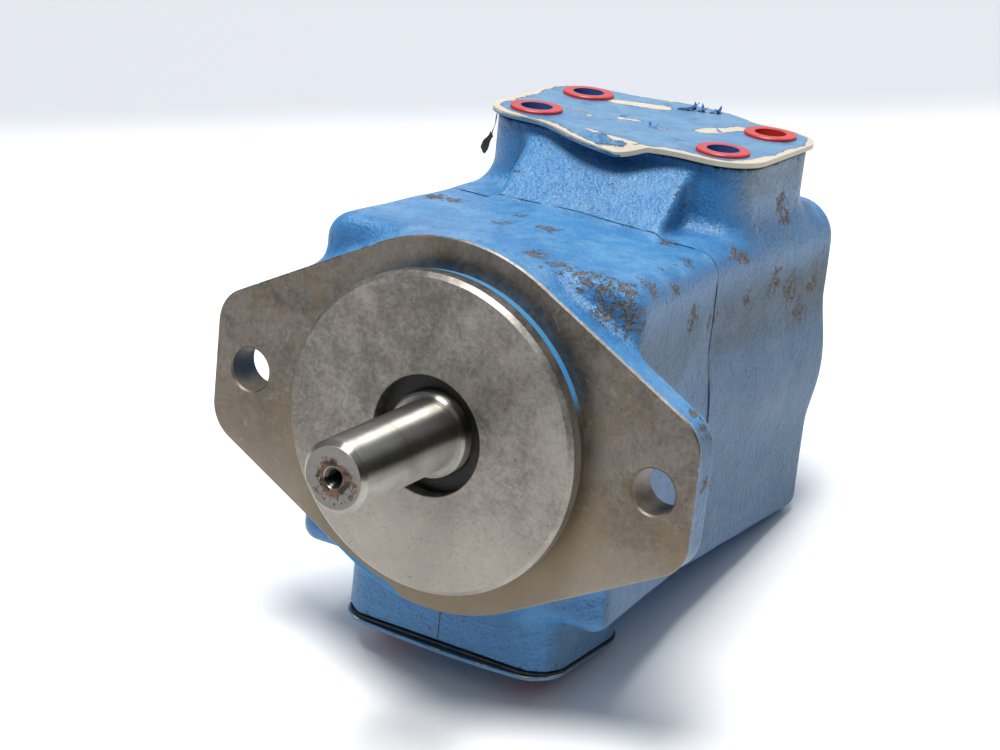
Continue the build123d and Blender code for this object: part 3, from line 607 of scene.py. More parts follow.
machining, machining_out, spot, line, patch = effect(
    "machining", {"Where": None, "Line": 900.0, "Patch": 20.0}, ["Height", "Tone", "Stain"])
stains = grain(spot, 2.6 * patch, 8.0, 0.7, 1.2)
set_inputs(machining_out, Height=grain(spot, line, 4.0, 0.7), Tone=grain(spot, patch, 6.0, 0.62, 0.5),
           Stain=between(stains, 0.50, 0.72))


def bare_iron(name, rings, rust, floor_reflection, dark, light):
    """Machined iron: faint tool lines, round or straight, blotches of handling, specks and brown bloom.
    Floor reflection is how much brighter the lower part is painted, as a painted reflection of the white
    floor."""
    material, surface, where = new_material(name)
    x, y, z = axes(where)
    if rings:
        tool = shade("CombineXYZ", 2.2 * square_root(x * x + z * z), 0.06 * x, 0.06 * z)
    else:
        tool = shade("CombineXYZ", x, y, 0.08 * z)
    marks = place_effect(machining, Where=tool, Line=1300.0, Patch=60.0)
    blotch = place_effect(machining, Where=where, Line=900.0, Patch=30.0)
    cloud = grain(where, 160.0, 9.0, 0.78, 0.5)
    tone = 0.375 * blotch["Tone"] + 0.375 * cloud + 0.25 * grain(where, 620.0, 6.0, 0.75)
    colour = mixed(between(tone, 0.40, 0.60), dark, light)
    darker = tuple(channel * 0.45 for channel in dark)
    colour = mixed(0.16 * between(marks["Height"], 0.35, 0.75), colour, darker)
    bloom = (0.6 * blotch["Stain"] + 0.5 * between(z, 0.015, -0.045)) * rust
    colour = mixed(bloom, colour, (0.23, 0.155, 0.075))
    # The lower part is paler: a painted reflection of the bright floor; pale patches also lie at random.
    pale = 0.3 * between(grain(where, 130.0, 9.0, 0.8, 1.5), 0.55, 0.68) + between(z, -0.005, -0.04) * floor_reflection
    colour = mixed(pale, colour, (0.50, 0.47, 0.42))
    colour = mixed(0.55 * between(blotch["Height"], 0.60, 0.72), colour, (0.06, 0.048, 0.036))
    height = 0.5 * marks["Height"] + 0.6 * blotch["Height"]
    set_inputs(surface, Base_Color=colour, Metallic=0.82 - 0.55 * bloom,
               Roughness=0.35 * cloud + 0.1 * marks["Height"] + 0.2 + 0.25 * bloom,
               Normal=shade("Bump", Strength=0.5, Distance=0.00007, Height=height))
    return material, surface, where, colour


def linked_to(surface, name):
    """The value that an input of a surface is linked to so far."""
    return Value(surface.inputs[name].links[0].from_socket)


def overspray(surface, colour, mask):
    """Blue paint on bare metal where a mask says: its colour, and no metal under it."""
    set_inputs(surface, Base_Color=mixed(mask, colour, (0.06, 0.27, 0.55)),
               Metallic=linked_to(surface, "Metallic") * (1.0 - mask))


flange_iron, surface, where, colour = bare_iron("flange_iron", False, 0.9, 0.3, (0.11, 0.097, 0.083),
                                                (0.24, 0.215, 0.19))
x, y, z = axes(where)
from_shaft = square_root(x * x + z * z + 0.0016 * grain(where, 45.0, 6.0, 0.7))
tan_ring = between(from_shaft, 0.072, 0.058) * between(z, 0.012, -0.02)
colour = mixed(0.5 * tan_ring, colour, (0.25, 0.175, 0.085))
lower_left = between(z, -0.046, -0.053) * between(x, -0.008, -0.014)
mist = 2.4 * lower_left - 0.35 + 4.0 * grain(where, 240.0, 6.0, 0.7) - 1.75 - attribute(surface, "rim")
overspray(surface, colour, between(mist, -0.05, 0.12))
spigot_iron, surface, where, colour = bare_iron("spigot_iron", True, 0.3, 0.6, (0.15, 0.137, 0.124),
                                                (0.37, 0.345, 0.315))
x, y, z = axes(where)
undercut = between(y, -0.0043, -0.0039) * between(y, 0.0001, -0.0006)
colour = mixed(0.7 * undercut, colour, (0.13, 0.09, 0.045))
sprayed = between(z + 0.2 * x + 0.01 * grain(where, 60.0, 4.0), 0.029, 0.036)
overspray(surface, colour, undercut * sprayed)
bore_iron = bare_iron("bore_iron", False, 0.9, 0.0, (0.10, 0.085, 0.07), (0.22, 0.19, 0.165))[0]


def faced(plan, centre, holes, spacing, onto, reverse):
    """A flat face with holes inside a plan's outline, and the half-millimetre chamfer that leads down to
    the outline. Onto puts flat points in space at a depth under the face."""
    rim, edge = (outline_at(plan, inset, centre) for inset in (0.5, 0.0))
    flat, triangles = sheet_mesh(rim, holes, spacing)
    here = np.arange(len(rim)) + len(flat)
    after = np.roll(here, -1)
    band = np.stack([here, after, after + len(rim), here + len(rim)], axis=1)
    points = np.concatenate([onto(flat, 0.0), onto(rim, 0.0), onto(edge, 0.5)])
    return points, triangles.tolist() + (band[:, ::-1] if reverse else band).tolist()


def onto_front(flat, depth):
    """Flat points on the mounting face, looked at from the front."""
    return np.stack([flat[:, 0], np.full(len(flat), depth), flat[:, 1]], axis=1)


def onto_port(flat, depth):
    """Flat points on the inlet face, looked at from above."""
    return np.column_stack([flat, np.full(len(flat), port_face - depth)])


front_openings = [(-bolt_x, 0.0, 7.75), (bolt_x, 0.0, 7.75), (0.0, 0.0, 49.9)]
front = faced(flange_plan, (0.0, 0.0), front_openings, 1.5, onto_front, False)
mounting_face = piece_from("mounting_face", *front, "housing", flange_iron, "front_casting_paint")
face_at = points_of(mounting_face.data) * 1000
add_value(mounting_face.data, "rim", -flange_plan(face_at[:, 0], face_at[:, 2]))
for label, side in (("left", -1), ("right", 1)):
    wall = turned([(7.15, 12.0), (7.15, 0.6), (7.75, 0.0)], 96, (side * bolt_x, 0, 0))
    piece_from(f"{label}_bolt_hole", *wall, "housing", bore_iron, "front_casting_paint")
spigot = turned([(19.05, 2.85), (19.05, -9.4), (19.3, -9.65), (34.0, -9.65), (49.4, -9.65),
                 (50.8, -8.25), (50.8, -4.2), (49.9, -3.3), (49.9, 0.0)], 360)
piece_from("spigot", *spigot, "housing", spigot_iron, "front_casting_paint", 25.0)


# The castings' insides and the inlet face. Bores, chamber and joint face as machined and cast, taken
# from the solids where they lie inside the skin, and the flat face that the inlet gasket seals on.
def inside_of(name):
    """The faces of a solid that lie more than a millimetre inside the skin, as a mesh of their own."""
    form = bmesh.new()
    form.from_mesh(nodes[name].data)
    bmesh.ops.remove_doubles(form, verts=form.verts, dist=1e-6)
    centres = np.array([face.calc_center_median() for face in form.faces]) * 1000
    outer = casting_distance(centres) > -1.0
    bmesh.ops.delete(form, geom=[f for f, out in zip(list(form.faces), outer) if out], context="FACES")
    return object_from(form, name + "_inside")


for name in ("front_housing", "rear_cover"):
    inside = inside_of(name)
    inside.data.materials.append(bore_iron)
    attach(inside, "housing")

inlet_centre, outlet_centre = (0.0, inlet_y), (0.0, outlet_y)
inlet_openings = [(*bolt, 6.35) for bolt in inlet_bolts] + [(*inlet_centre, 19.05)]
inlet_face = faced(inlet_pad_plan, inlet_centre, inlet_openings, 2.5, onto_port, True)
piece_from("inlet_face", *inlet_face, "housing", bore_iron, "rear_casting_paint")
for number, (x, y, radius) in enumerate(inlet_openings, 1):
    wall = turned([(radius, port_face), (radius, 70.0)], 72, (x, y, 0), True)
    piece_from(f"inlet_hole_{number}", *wall, "housing", bore_iron, "rear_casting_paint")


# Steel, rubber, bronze and fibre of the inner parts: shaft, bearing, rings, seal, cartridge and
# screws keep the solids' shapes, and each gets the surface of its own metal or rubber.
def dress(names, material):
    """Gives solids of the frame a material."""
    for name in names:
        nodes[name].data.materials.clear()
        nodes[name].data.materials.append(material)


def ground_metal(name, dark, light, lines, rough, tint, metal=1.0):
    """Ground or turned metal: fine lines round the shaft axis, slight blotches and a brown tint."""
    material, surface, where = new_material(name)
    x, y, z = axes(where)
    band = shade("CombineXYZ", 0.03 * x, y, 0.03 * z)
    marks = place_effect(machining, Where=band, Line=lines, Patch=70.0)
    blotch = place_effect(machining, Where=where, Line=700.0, Patch=45.0)
    colour = mixed(between(blotch["Tone"], 0.3, 0.7), dark, light)
    colour = mixed(blotch["Stain"] * tint, colour, (0.22, 0.15, 0.08))
    height = marks["Height"] + 0.25 * blotch["Height"]
    set_inputs(surface, Base_Color=colour, Metallic=metal,
               Roughness=0.14 * marks["Height"] + 0.12 * blotch["Tone"] + rough,
               Normal=shade("Bump", Strength=0.4, Distance=0.00002, Height=height))
    return material, surface, where, colour


def soft_stuff(name, dark, light, cell, rough, dust=0.2):
    """Rubber, fibre or plastic: fine grain, uneven tone and a little dust."""
    material, surface, where = new_material(name)
    tone = grain(where, cell * 0.12, 5.0, 0.65, 0.4)
    fine = grain(where, cell, 3.0, 0.6)
    colour = mixed(between(tone, 0.3, 0.7), dark, light)
    colour = mixed(between(fine, 0.55, 0.75) * dust, colour, (0.30, 0.27, 0.23))
    set_inputs(surface, Base_Color=colour, Roughness=rough + 0.2 * tone, Specular_IOR_Level=0.3,
               Normal=shade("Bump", Strength=0.6, Distance=0.00006, Height=fine))
    return material


shaft_steel, surface, where, colour = ground_metal("shaft_steel", (0.29, 0.275, 0.25), (0.48, 0.46, 0.42),
                                                   3200.0, 0.25, 0.2)
x, y, z = axes(where)
reach = square_root(x * x + z * z)
at_end = between(y, -0.05855, -0.05865)
patchy = 0.011 * grain(where, 330.0, 8.0, 0.75, 1.2) - 0.0055
stained = between(reach + patchy, 0.0058, 0.0050) * at_end
lower = between(z - 0.3 * x, 0.002, -0.002)
drips = between(grain(where, 420.0, 7.0, 0.7, 1.0), 0.52, 0.6) * lower
stained = largest(stained, drips * at_end * between(reach, 0.0095, 0.0075))
end_grey = mixed(grain(where, 800.0, 5.0, 0.7), (0.15, 0.14, 0.13), (0.33, 0.315, 0.30))
colour = mixed(0.8 * at_end, colour, end_grey)
rust = mixed(between(grain(where, 420.0, 5.0), 0.4, 0.6), (0.012, 0.009, 0.008), (0.17, 0.08, 0.04))
colour = mixed(0.92 * stained, colour, rust)
ring = between(y, -0.0352, -0.0347) * between(y, -0.0334, -0.0341)
ring = ring * between(grain(where, 160.0, 6.0, 0.7), 0.42, 0.6)
colour = mixed(0.5 * ring, colour, (0.30, 0.21, 0.10))
# Painted shade: the empty keyway and the centre hole on the end face are painted dark, as the shade in
# these recesses.
key_turn = math.radians(218)
outward = x * math.cos(key_turn) + z * math.sin(key_turn)
sideways = abs(x * math.sin(key_turn) - z * math.cos(key_turn))
keyway = between(outward, 0.0083, 0.0085) * between(sideways, 0.00247, 0.0024)
centre_hole = between(reach, 0.00335, 0.0031) * between(y, -0.05868, -0.0586)
colour = mixed(largest(keyway, 0.8 * centre_hole), colour, (0.035, 0.033, 0.030))
dull = 0.6 * largest(0.22 * at_end, stained)
set_inputs(surface, Base_Color=colour, Metallic=1.0 - 0.9 * stained,
           Roughness=linked_to(surface, "Roughness") + dull,
           Anisotropic=1.0 - at_end, Anisotropic_Rotation=0.25,
           Tangent=shade("Tangent", tree=surface.id_data, direction_type="RADIAL", axis="Y"))
dress(["drive_shaft"], shaft_steel)

vanes = [f"vane_{number:02d}" for number in range(1, 11)]
for name, dark, light, lines, rough, tint, pieces in (
        ("bearing_steel", (0.50, 0.50, 0.49), (0.66, 0.66, 0.65), 3800.0, 0.1, 0.05,
         ["bearing_outer_ring", "bearing_inner_ring"]),
        ("ball_steel", (0.60, 0.60, 0.60), (0.70, 0.70, 0.70), 1200.0, 0.05, 0.02, ["bearing_balls"]),
        ("cage_steel", (0.34, 0.33, 0.31), (0.48, 0.47, 0.44), 900.0, 0.3, 0.1, ["bearing_cage"]),
        ("ring_steel", (0.05, 0.05, 0.055), (0.11, 0.11, 0.115), 900.0, 0.35, 0.1,
         ["bearing_retaining_ring", "shaft_retaining_ring"]),
        ("spring_steel", (0.35, 0.34, 0.33), (0.55, 0.54, 0.52), 2400.0, 0.2, 0.1, ["seal_garter_spring"]),
        ("plate_iron", (0.27, 0.25, 0.23), (0.40, 0.38, 0.35), 1500.0, 0.28, 0.15,
         ["outlet_support_plate", "inlet_support_plate"]),
        ("cam_steel", (0.33, 0.32, 0.30), (0.47, 0.46, 0.44), 2200.0, 0.2, 0.08, ["cam_ring"]),
        ("rotor_steel", (0.30, 0.29, 0.28), (0.43, 0.42, 0.40), 1800.0, 0.22, 0.08, ["rotor"]),
        ("vane_steel", (0.42, 0.42, 0.42), (0.57, 0.57, 0.56), 3000.0, 0.14, 0.04,
         ["vane_inserts", "dowel_pins"] + vanes),
        ("screw_steel", (0.035, 0.034, 0.033), (0.09, 0.088, 0.085), 900.0, 0.34, 0.15,
         ["cartridge_screws"]),
        ("bush_bronze", (0.42, 0.25, 0.09), (0.62, 0.40, 0.17), 2000.0, 0.22, 0.1, ["shaft_tail_bush"])):
    dress(pieces, ground_metal(name, dark, light, lines, rough, tint)[0])
# The seal case is near black: painted shade of the seal's deep pocket.
seal_steel = ground_metal("seal_steel", (0.006, 0.0055, 0.005), (0.018, 0.016, 0.014), 900.0, 0.4, 0.1, 0.2)
dress(["shaft_seal_case"], seal_steel[0])
for name, dark, light, cell, rough, dust, pieces in (
        ("seal_rubber", (0.006, 0.006, 0.006), (0.020, 0.018, 0.016), 1500.0, 0.32, 0.08,
         ["shaft_seal_lip"]),
        ("ring_rubber", (0.010, 0.010, 0.011), (0.022, 0.022, 0.022), 1800.0, 0.42, 0.05,
         ["joint_o_ring", "plate_rim_o_ring", "plate_hub_o_ring"]),
        ("backup_plastic", (0.62, 0.60, 0.54), (0.76, 0.74, 0.68), 900.0, 0.4, 0.05,
         ["plate_rim_backup_ring"]),
        ("gasket_fibre", (0.010, 0.012, 0.016), (0.035, 0.037, 0.042), 1400.0, 0.7, 0.25,
         ["inlet_gasket", "outlet_gasket"])):
    dress(pieces, soft_stuff(name, dark, light, cell, rough, dust))


# Cover bolts. Four hexagon screws in the corners of the rear cover, painted over with it; paint is
# gone where a spanner has turned them.
bolt_paint, surface, where = new_material("bolt_paint")
knocks = place_effect(flaking, Where=where, Scale=230.0, Edge=0.25, Reach=0.3)
worn_blue = mixed(grain(where, 90.0, 5.0), (0.04, 0.20, 0.47), (0.09, 0.31, 0.60))
bare_steel = mixed(grain(where, 700.0, 4.0), (0.10, 0.075, 0.055), (0.26, 0.23, 0.20))
height = grain(where, 620.0, 3.0) - 0.6 * knocks["Mask"]
set_inputs(surface, Base_Color=mixed(knocks["Mask"], worn_blue, bare_steel), Metallic=0.8 * knocks["Mask"],
           Roughness=0.32 + 0.25 * knocks["Rim"],
           Normal=shade("Bump", Strength=0.8, Distance=0.0002, Height=height))
dress(["cover_bolts"], bolt_paint)


# Closures of the ports. Two stamped sheets with a cream coat, bolted down under plugs and sprayed
# blue with the pump; the coat has flaked to cream at the edges, and the inlet sheet's front edge is
# bent down and torn.
lid_top, lid_thickness = 78.6, 1.6


def thickened(flat, triangles, top, thickness):
    """A flat triangulation made a plate: its top at given heights, its bottom below, and its walls."""
    plate = np.concatenate([np.column_stack([flat, height]) for height in (top, top - thickness)])
    count = len(flat)
    sides = np.concatenate([triangles[:, (0, 1)], triangles[:, (1, 2)], triangles[:, (2, 0)]])
    pairs = {tuple(pair) for pair in sides.tolist()}
    walls = [[b, a, a + count, b + count] for a, b in pairs if (b, a) not in pairs]
    below = triangles[:, ::-1] + count
    return plate, triangles.tolist() + below.tolist() + walls


def flaked_coat(name, edge_noise):
    """Blue spray over a cream coat, which shows where the value 'bare' is above a ragged line."""
    material, surface, where = new_material(name)
    ragged = grain(where, 520.0, 9.0, 0.8, 1.0) + grain(where, 140.0, 4.0) - 1.0
    field = attribute(surface, "bare") + 2.0 * edge_noise * ragged
    cream = between(field, -0.06, 0.06)
    lifted = between(field, -0.5, -0.05) * (1.0 - cream)
    tone = grain(where, 70.0, 6.0, 0.7, 0.5)
    blue = mixed(between(tone, 0.35, 0.68), (0.062, 0.205, 0.40), (0.135, 0.29, 0.45))
    scratch = shade("Mapping", Vector=where, Scale=(0.35, 1.0, 1.0))
    scratch = between(grain(scratch, 150.0, 10.0, 0.8, 2.0), 0.53, 0.60)
    blue = mixed(0.55 * scratch, blue, (0.012, 0.06, 0.20))
    pale = mixed(grain(where, 110.0, 7.0, 0.7), (0.44, 0.37, 0.245), (0.70, 0.66, 0.56))
    dirt = between(grain(where, 320.0, 8.0, 0.8, 0.8), 0.58, 0.70)
    pale = mixed(0.5 * dirt, pale, (0.20, 0.15, 0.09))
    colour = mixed(0.35 * lifted, mixed(cream, blue, pale), (0.02, 0.09, 0.27))
    height = 0.45 * lifted - cream + 0.12 * grain(where, 900.0, 3.0)
    set_inputs(surface, Base_Color=colour, Roughness=0.36 + 0.22 * cream,
               Normal=shade("Bump", Strength=0.9, Distance=0.00028, Height=height))
    return material


def lid_plan(x, y):
    """Distance to the outline of the inlet sheet: a rounded rectangle with a round bulge each way."""
    return weld(rounded_box(x, y - inlet_y, 50.3, 31.3, 15.0), np.hypot(x, y - inlet_y) - 37.5, 4.0)


def lid_bend(x, y):
    """How far the torn front edge hangs: beyond a slanting crease, growing to the right up to the tear."""
    beyond = np.clip((91.5 - 0.19 * (x + 22) - y) / 4.2, 0, 1.2)
    grown = np.clip((x + 27) / 40, 0, 1)
    torn = np.clip((21.0 - x) / 1.6, 0, 1)
    deepest = 3.3
    return deepest * beyond ** 1.2 * grown ** 1.3 * torn


def lid_bare(points):
    """Where the cream shows: a band along the edge, the torn flap, and a few peeled patches."""
    x, y, z = points.T
    inset = -lid_plan(x, y)
    width = 1.7 + 1.0 * np.clip((x - 18) / 12, 0, 1) + 1.8 * np.clip((-40 - x) / 8, 0, 1)
    width = width + 2.6 * np.clip((x - 42) / 5, 0, 1) * np.clip((110 - y) / 10, 0, 1)
    width = width - 1.1 * np.clip((y - 122) / 10, 0, 1) + 1.2 * rolling(points * (1, 1, 0), 3.5)
    bare = width - inset
    hanging = lid_bend(x, y)
    crease = np.abs(92.0 - 0.19 * (x + 22) - y)
    along_crease = np.clip((x + 14) / 4, 0, 1) * np.clip((23 - x) / 3, 0, 1)
    bare = np.maximum(bare, 1.9 * along_crease - 0.9 - crease)
    bare = np.maximum(bare, np.where(hanging > 0.25, 2.0 - inset + 0.6 * np.clip(x - 8, 0, 8), -9))
    for cx, cy, along, across, turn in ((-15.5, 138.5, 11.0, 3.2, 0.42), (20.5, 129.0, 10.8, 3.0, 1.12),
                                        (-7.0, 115.0, 4.2, 1.2, 0.35), (6.5, 112.5, 2.0, 0.9, 0.2),
                                        (-19.0, 108.5, 1.2, 1.4, 0.0), (-27.0, 110.5, 5.5, 0.5, 0.1)):
        u = (x - cx) * math.cos(turn) + (y - cy) * math.sin(turn)
        v = (y - cy) * math.cos(turn) - (x - cx) * math.sin(turn)
        outside = np.hypot(np.maximum(np.abs(u) - along + across, 0), v)
        bare = np.maximum(bare, across - outside)
    wall = (z < lid_top - 0.15 - hanging) & (inset < 0.2)
    keeps_blue = wall & ((x < 8) & (y < 118) | (y > 118) & (x < 40))
    return np.where(keeps_blue, -3.0, bare)


lid_holes = [(*bolt, 6.45) for bolt in inlet_bolts]
flat, triangles = sheet_mesh(outline_at(lid_plan, 0.0, inlet_centre), lid_holes, 0.7)
lid = thickened(flat, triangles, lid_top - lid_bend(*flat.T), lid_thickness)
lid_coat = flaked_coat("inlet_coat", 2.6)
inlet_lid = piece_from("inlet_sheet", *lid, "inlet_closure", lid_coat, "inlet_closure_fibre")
add_value(inlet_lid.data, "bare", lid_bare(points_of(inlet_lid.data) * 1000))
soften = inlet_lid.modifiers.new("rounded_edges", "BEVEL")
soften.width = 0.0003
soften.segments = 2
soften.limit_method = "ANGLE"
soften.angle_limit = math.radians(50)
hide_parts("inlet_closure_plate")


def outlet_lid_plan(x, y):
    """Distance to the outline of the outlet sheet."""
    return rounded_box(x + 0.3, y - 37.8, 39.7, 26.5, 10.5)


outlet_holes = [(*bolt, 4.85) for bolt in outlet_bolts]
flat, triangles = sheet_mesh(outline_at(outlet_lid_plan, 0.0, outlet_centre), outlet_holes, 1.2)
bowed = np.clip((25.0 - flat[:, 1]) / 13.0, 0, 1) ** 1.5 * np.clip(1 - (flat[:, 0] / 38) ** 2, 0, 1)
outlet_lid_top, outlet_lid_thickness, deepest_bow = -77.0, 1.25, 1.4
lid = thickened(flat, triangles, outlet_lid_top - deepest_bow * bowed, outlet_lid_thickness)
lid_coat = flaked_coat("outlet_coat", 1.3)
outlet_lid = piece_from("outlet_sheet", *lid, "housing", lid_coat, "outlet_closure_fibre")
outlet_at = points_of(outlet_lid.data) * 1000
plate_top = np.arange(len(outlet_at)) < len(flat)
near_edge = outlet_lid_plan(outlet_at[:, 0], outlet_at[:, 1]) + 0.1
add_value(outlet_lid.data, "bare", np.where(plate_top, near_edge, -1.1))
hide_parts("outlet_closure_plate")


# Plugs. Red push-in plastic plugs with a thin flange; blue spray lies in three of the inlet ones.
def plug_plastic(name, x, y, painted):
    """Red plastic with a faint skin of moulding; the blue spray fills the cup where it was painted."""
    material, surface, where = new_material(name)
    from_middle = axes(shade("Mapping", Vector=where, Location=(-x, -y, 0.0)))
    across = shade("CombineXYZ", from_middle[0], from_middle[1], 0.0)
    reach = shade("VectorMath", across, operation="LENGTH", out=1)
    tone = grain(where, 150.0, 5.0, 0.65, 0.4)
    red = mixed(tone, (0.42, 0.018, 0.014), (0.66, 0.055, 0.045))
    cup = between(reach + 0.0016 * grain(where, 380.0, 6.0, 0.7, 0.8), 0.0067, 0.0063)
    fleck = between(grain(where, 420.0, 7.0, 0.75, 1.0), 0.60, 0.66)
    cup_cover, fleck_cover = (0.94, 0.35) if painted else (0.0, 0.105)
    colour = mixed(largest(cup_cover * cup, fleck_cover * fleck), red, (0.022, 0.10, 0.30))
    set_inputs(surface, Base_Color=colour, Roughness=0.3 + 0.2 * tone, Subsurface_Weight=0.12,
               Subsurface_Radius=(0.002, 0.0004, 0.0003),
               Normal=shade("Bump", Strength=0.4, Distance=0.00012, Height=grain(where, 500.0, 4.0)))
    return material


for number in range(1, 5):
    low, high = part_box(f"inlet_plug_{number}")
    middle_x, middle_y = (low[0] + high[0]) / 2, (low[1] + high[1]) / 2
    clean = middle_x > 0 and middle_y > inlet_y / 1000
    dress([f"inlet_plug_{number}"], plug_plastic(f"plug_{number}_plastic", middle_x, middle_y, not clean))
dress(["outlet_plugs"], plug_plastic("outlet_plug_plastic", 0.0, outlet_y / 1000, False))


# Loose paint. Curled flakes stand up near the inlet sheet's back edge, and a shred of the coat hangs
# from its left corner with a chip at its end.
def grid_faces(rows, columns):
    """Faces between the points of a grid that is numbered row by row."""
    row, column = np.meshgrid(np.arange(rows - 1), np.arange(columns - 1), indexing="ij")
    corner = (row * columns + column).reshape(-1)
    return np.stack([corner, corner + columns, corner + columns + 1, corner + 1], axis=1)


def strip_grid(rows, columns):
    """Grids of how far along a strip, from 0 to 1, and how far across it, from -1 to 1."""
    return np.meshgrid(np.linspace(0, 1, rows), np.linspace(-1, 1, columns), indexing="ij")


flake_rows, flake_columns = 12, 7


def flake(x, y, length, width, curl, turn, lift):
    """Grid of a curled chip on the sheet: a strip bent to an arc along its length, with a ragged end."""
    along, across = strip_grid(flake_rows, flake_columns)
    ragged = 1 - 0.75 * along ** 1.6 + 0.15 * np.sin(9 * along + 4 * across)
    angle = curl * along + lift
    reach = length * (np.sin(angle) - math.sin(lift)) / curl
    rise = length * (math.cos(lift) - np.cos(angle)) / curl + 0.12 * width * across ** 2
    side = width * across * ragged / 2
    return np.stack([x + reach * math.cos(turn) - side * math.sin(turn),
                     y + reach * math.sin(turn) + side * math.cos(turn), lid_top + rise],
                    axis=-1).reshape(-1, 3)


flake_paint, surface, where = new_material("flake_paint")
tone = grain(where, 500.0, 5.0, 0.7)
set_inputs(surface, Base_Color=mixed(tone, (0.015, 0.085, 0.28), (0.06, 0.25, 0.55)), Roughness=0.4,
           Normal=shade("Bump", Strength=0.5, Distance=0.0001, Height=tone))
flakes = [flake(*chip) for chip in (
    (-4.5, 145.5, 6.0, 3.4, 0.5, 0.1, 0.02), (-2.0, 147.0, 5.0, 2.6, 0.9, 0.6, 0.1),
    (0.5, 147.5, 3.2, 1.6, 1.0, 1.9, 0.5), (1.8, 148.0, 4.2, 2.4, 0.7, 0.0, 0.1),
    (3.6, 148.6, 3.0, 1.3, 0.9, 2.4, 0.6), (5.6, 149.6, 4.4, 2.6, 0.8, 0.3, 0.12),
    (8.2, 150.4, 3.2, 1.5, 0.8, 1.4, 0.6), (9.4, 150.6, 3.0, 2.0, 0.7, 3.4, 0.2),
    (3.0, 111.5, 2.2, 1.6, 0.9, 2.6, 0.25), (4.0, 110.6, 2.4, 1.2, 0.8, 0.7, 0.3),
    (22.0, 125.5, 3.2, 1.0, 0.6, 2.9, 0.1), (-12.0, 117.0, 3.4, 1.0, 0.5, 0.2, 0.05))]
one_flake = grid_faces(flake_rows, flake_columns)
flake_faces = [one_flake + number * len(flakes[0]) for number in range(len(flakes))]
piece_from("paint_flakes", np.concatenate(flakes), np.concatenate(flake_faces), "inlet_closure",
           flake_paint, "inlet_closure_fibre")

shred_line = np.array([(-49.6, 103.5, 77.4), (-50.6, 103.2, 76.0), (-51.3, 102.6, 73.0),
                       (-51.2, 102.2, 70.0), (-51.9, 101.8, 67.0), (-51.7, 101.5, 65.0)])
stations, sides = 40, 8
station = np.linspace(0, 1, stations)
knots = np.linspace(0, 1, len(shred_line))
curve = np.stack([np.interp(station, knots, shred_line[:, axis]) for axis in range(3)], axis=1)
curve[1:-1] = (curve[:-2] + curve[1:-1] + curve[2:]) / 3
angle = round_angles(sides)
spokes = np.stack([np.cos(angle), np.sin(angle), 0 * angle], axis=1)
thin = 0.16 + 0.05 * np.sin(17 * station)
tube = (curve[:, None, :] + spokes[None] * thin[:, None, None]).reshape(-1, 3)
row, column = np.meshgrid(np.arange(stations - 1), np.arange(sides), indexing="ij")
first, second = row * sides + column, row * sides + (column + 1) % sides
tube_faces = np.stack([first + sides, second + sides, second, first], axis=-1).reshape(-1, 4).tolist()
caps = [list(range(sides)), list(range(len(tube) - 1, len(tube) - sides - 1, -1))]
tag_rows, tag_columns = 9, 5
tag_u, tag_v = strip_grid(tag_rows, tag_columns)
tag_wide = 1.9 * (0.7 + 0.35 * tag_u - 0.2 * np.sin(7 * tag_u)) * tag_v
tag = np.stack([-51.7 - 2.6 * tag_u + tag_wide * 0.8, 101.5 - 1.0 * tag_u - tag_wide * 0.5,
                66.3 - 6.4 * tag_u - 0.5 * tag_wide + 0.3 * tag_v ** 2], axis=-1).reshape(-1, 3)
shred_faces = tube_faces + caps + (grid_faces(tag_rows, tag_columns) + len(tube)).tolist()
shred_coat = soft_stuff("shred_coat", (0.010, 0.010, 0.012), (0.040, 0.038, 0.036), 900.0, 0.6)
piece_from("coat_shred", np.concatenate([tube, tag]), shred_faces, "inlet_closure", shred_coat,
           "inlet_closure_fibre")
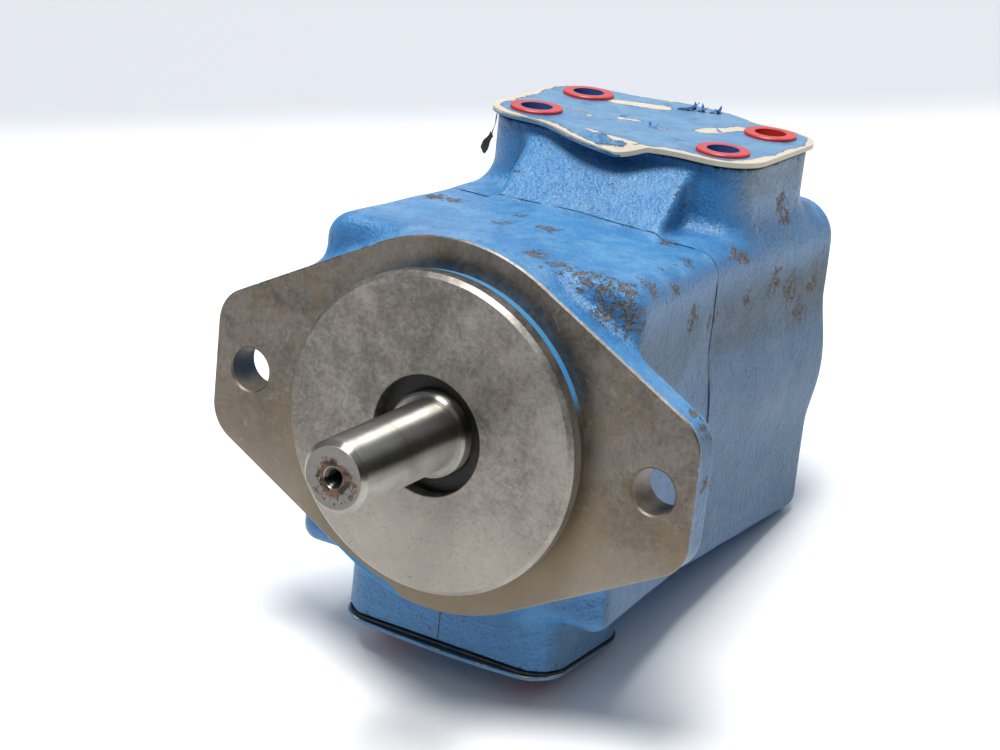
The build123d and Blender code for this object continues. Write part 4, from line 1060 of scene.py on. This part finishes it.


# Floor and light. A white sheet under the pump, tilted as the pump leans back on it, fading to pale
# blue-grey far behind as painted shade; broad light from the ceiling, a little in front and to the left.
lean = np.array([0.0, 96.0, 22.2])
lean /= np.linalg.norm(lean)
floor_up = np.array([0.0, -lean[2], lean[1]])
floor_spot = np.array([0.0, 0.063, -0.0798])
floor_reach = 4.0
floor_mesh = bpy.data.meshes.new("floor")
floor_corners = [tuple(floor_spot + floor_reach * (np.array([across, 0, 0]) + along * lean))
                 for across, along in ((-1, -1), (1, -1), (1, 1), (-1, 1))]
floor_mesh.from_pydata(floor_corners, [], [(0, 1, 2, 3)])
floor = add_object("floor", floor_mesh)
floor_material, surface, where = new_material("floor_white")
ahead = floor_up * (camera_back @ floor_up) - camera_back
ahead /= np.linalg.norm(ahead)
# Painted shade: the floor turns darker blue-grey far behind.
depth = shade("VectorMath", where, tuple(ahead), operation="DOT_PRODUCT", out=1)
depth = between(depth + 0.03 * grain(where, 4.0), 0.385, 0.475)
set_inputs(surface, Base_Color=mixed(depth, (0.92, 0.92, 0.91), (0.49, 0.50, 0.532)), Roughness=0.55)
floor_mesh.materials.append(floor_material)

ceiling_back = np.array([-0.06, -0.28, 0.95])
ceiling_back /= np.linalg.norm(ceiling_back)
ceiling_side = np.cross((0, 1, 0), ceiling_back)
ceiling_side /= np.linalg.norm(ceiling_side)
ceiling_data = bpy.data.lights.new("ceiling", "SUN")
ceiling_data.angle = math.radians(26.0)
ceiling_data.energy = 3.8
ceiling_data.color = (1.0, 0.995, 0.985)
ceiling = add_object("ceiling", ceiling_data)
ceiling.matrix_world = pose_of(ceiling_side, np.cross(ceiling_back, ceiling_side), ceiling_back)

world = bpy.data.worlds.new("white_room")
world.use_nodes = True
bpy.context.scene.world = world
x, y, z = axes(shade("TexCoord", tree=world.node_tree, out="Generated"))
upward = between(z, 0.0, 0.8)
rightward = between(x, -0.1, 0.45) * between(z, 0.75, 0.45)
backward = between(y, 0.25, 0.7) * between(z, 0.12, 0.28)
brightness = (0.02 + 0.50 * upward + 0.65 * backward) * (1.0 - 0.8 * rightward)
seen = shade("LightPath", tree=world.node_tree)
set_inputs(world.node_tree.nodes["Background"], Color=mixed(seen, (0.86, 0.92, 1.0), (0.80, 0.83, 0.89)),
           Strength=largest(brightness, seen))
bpy.context.scene.view_settings.view_transform = "Standard"
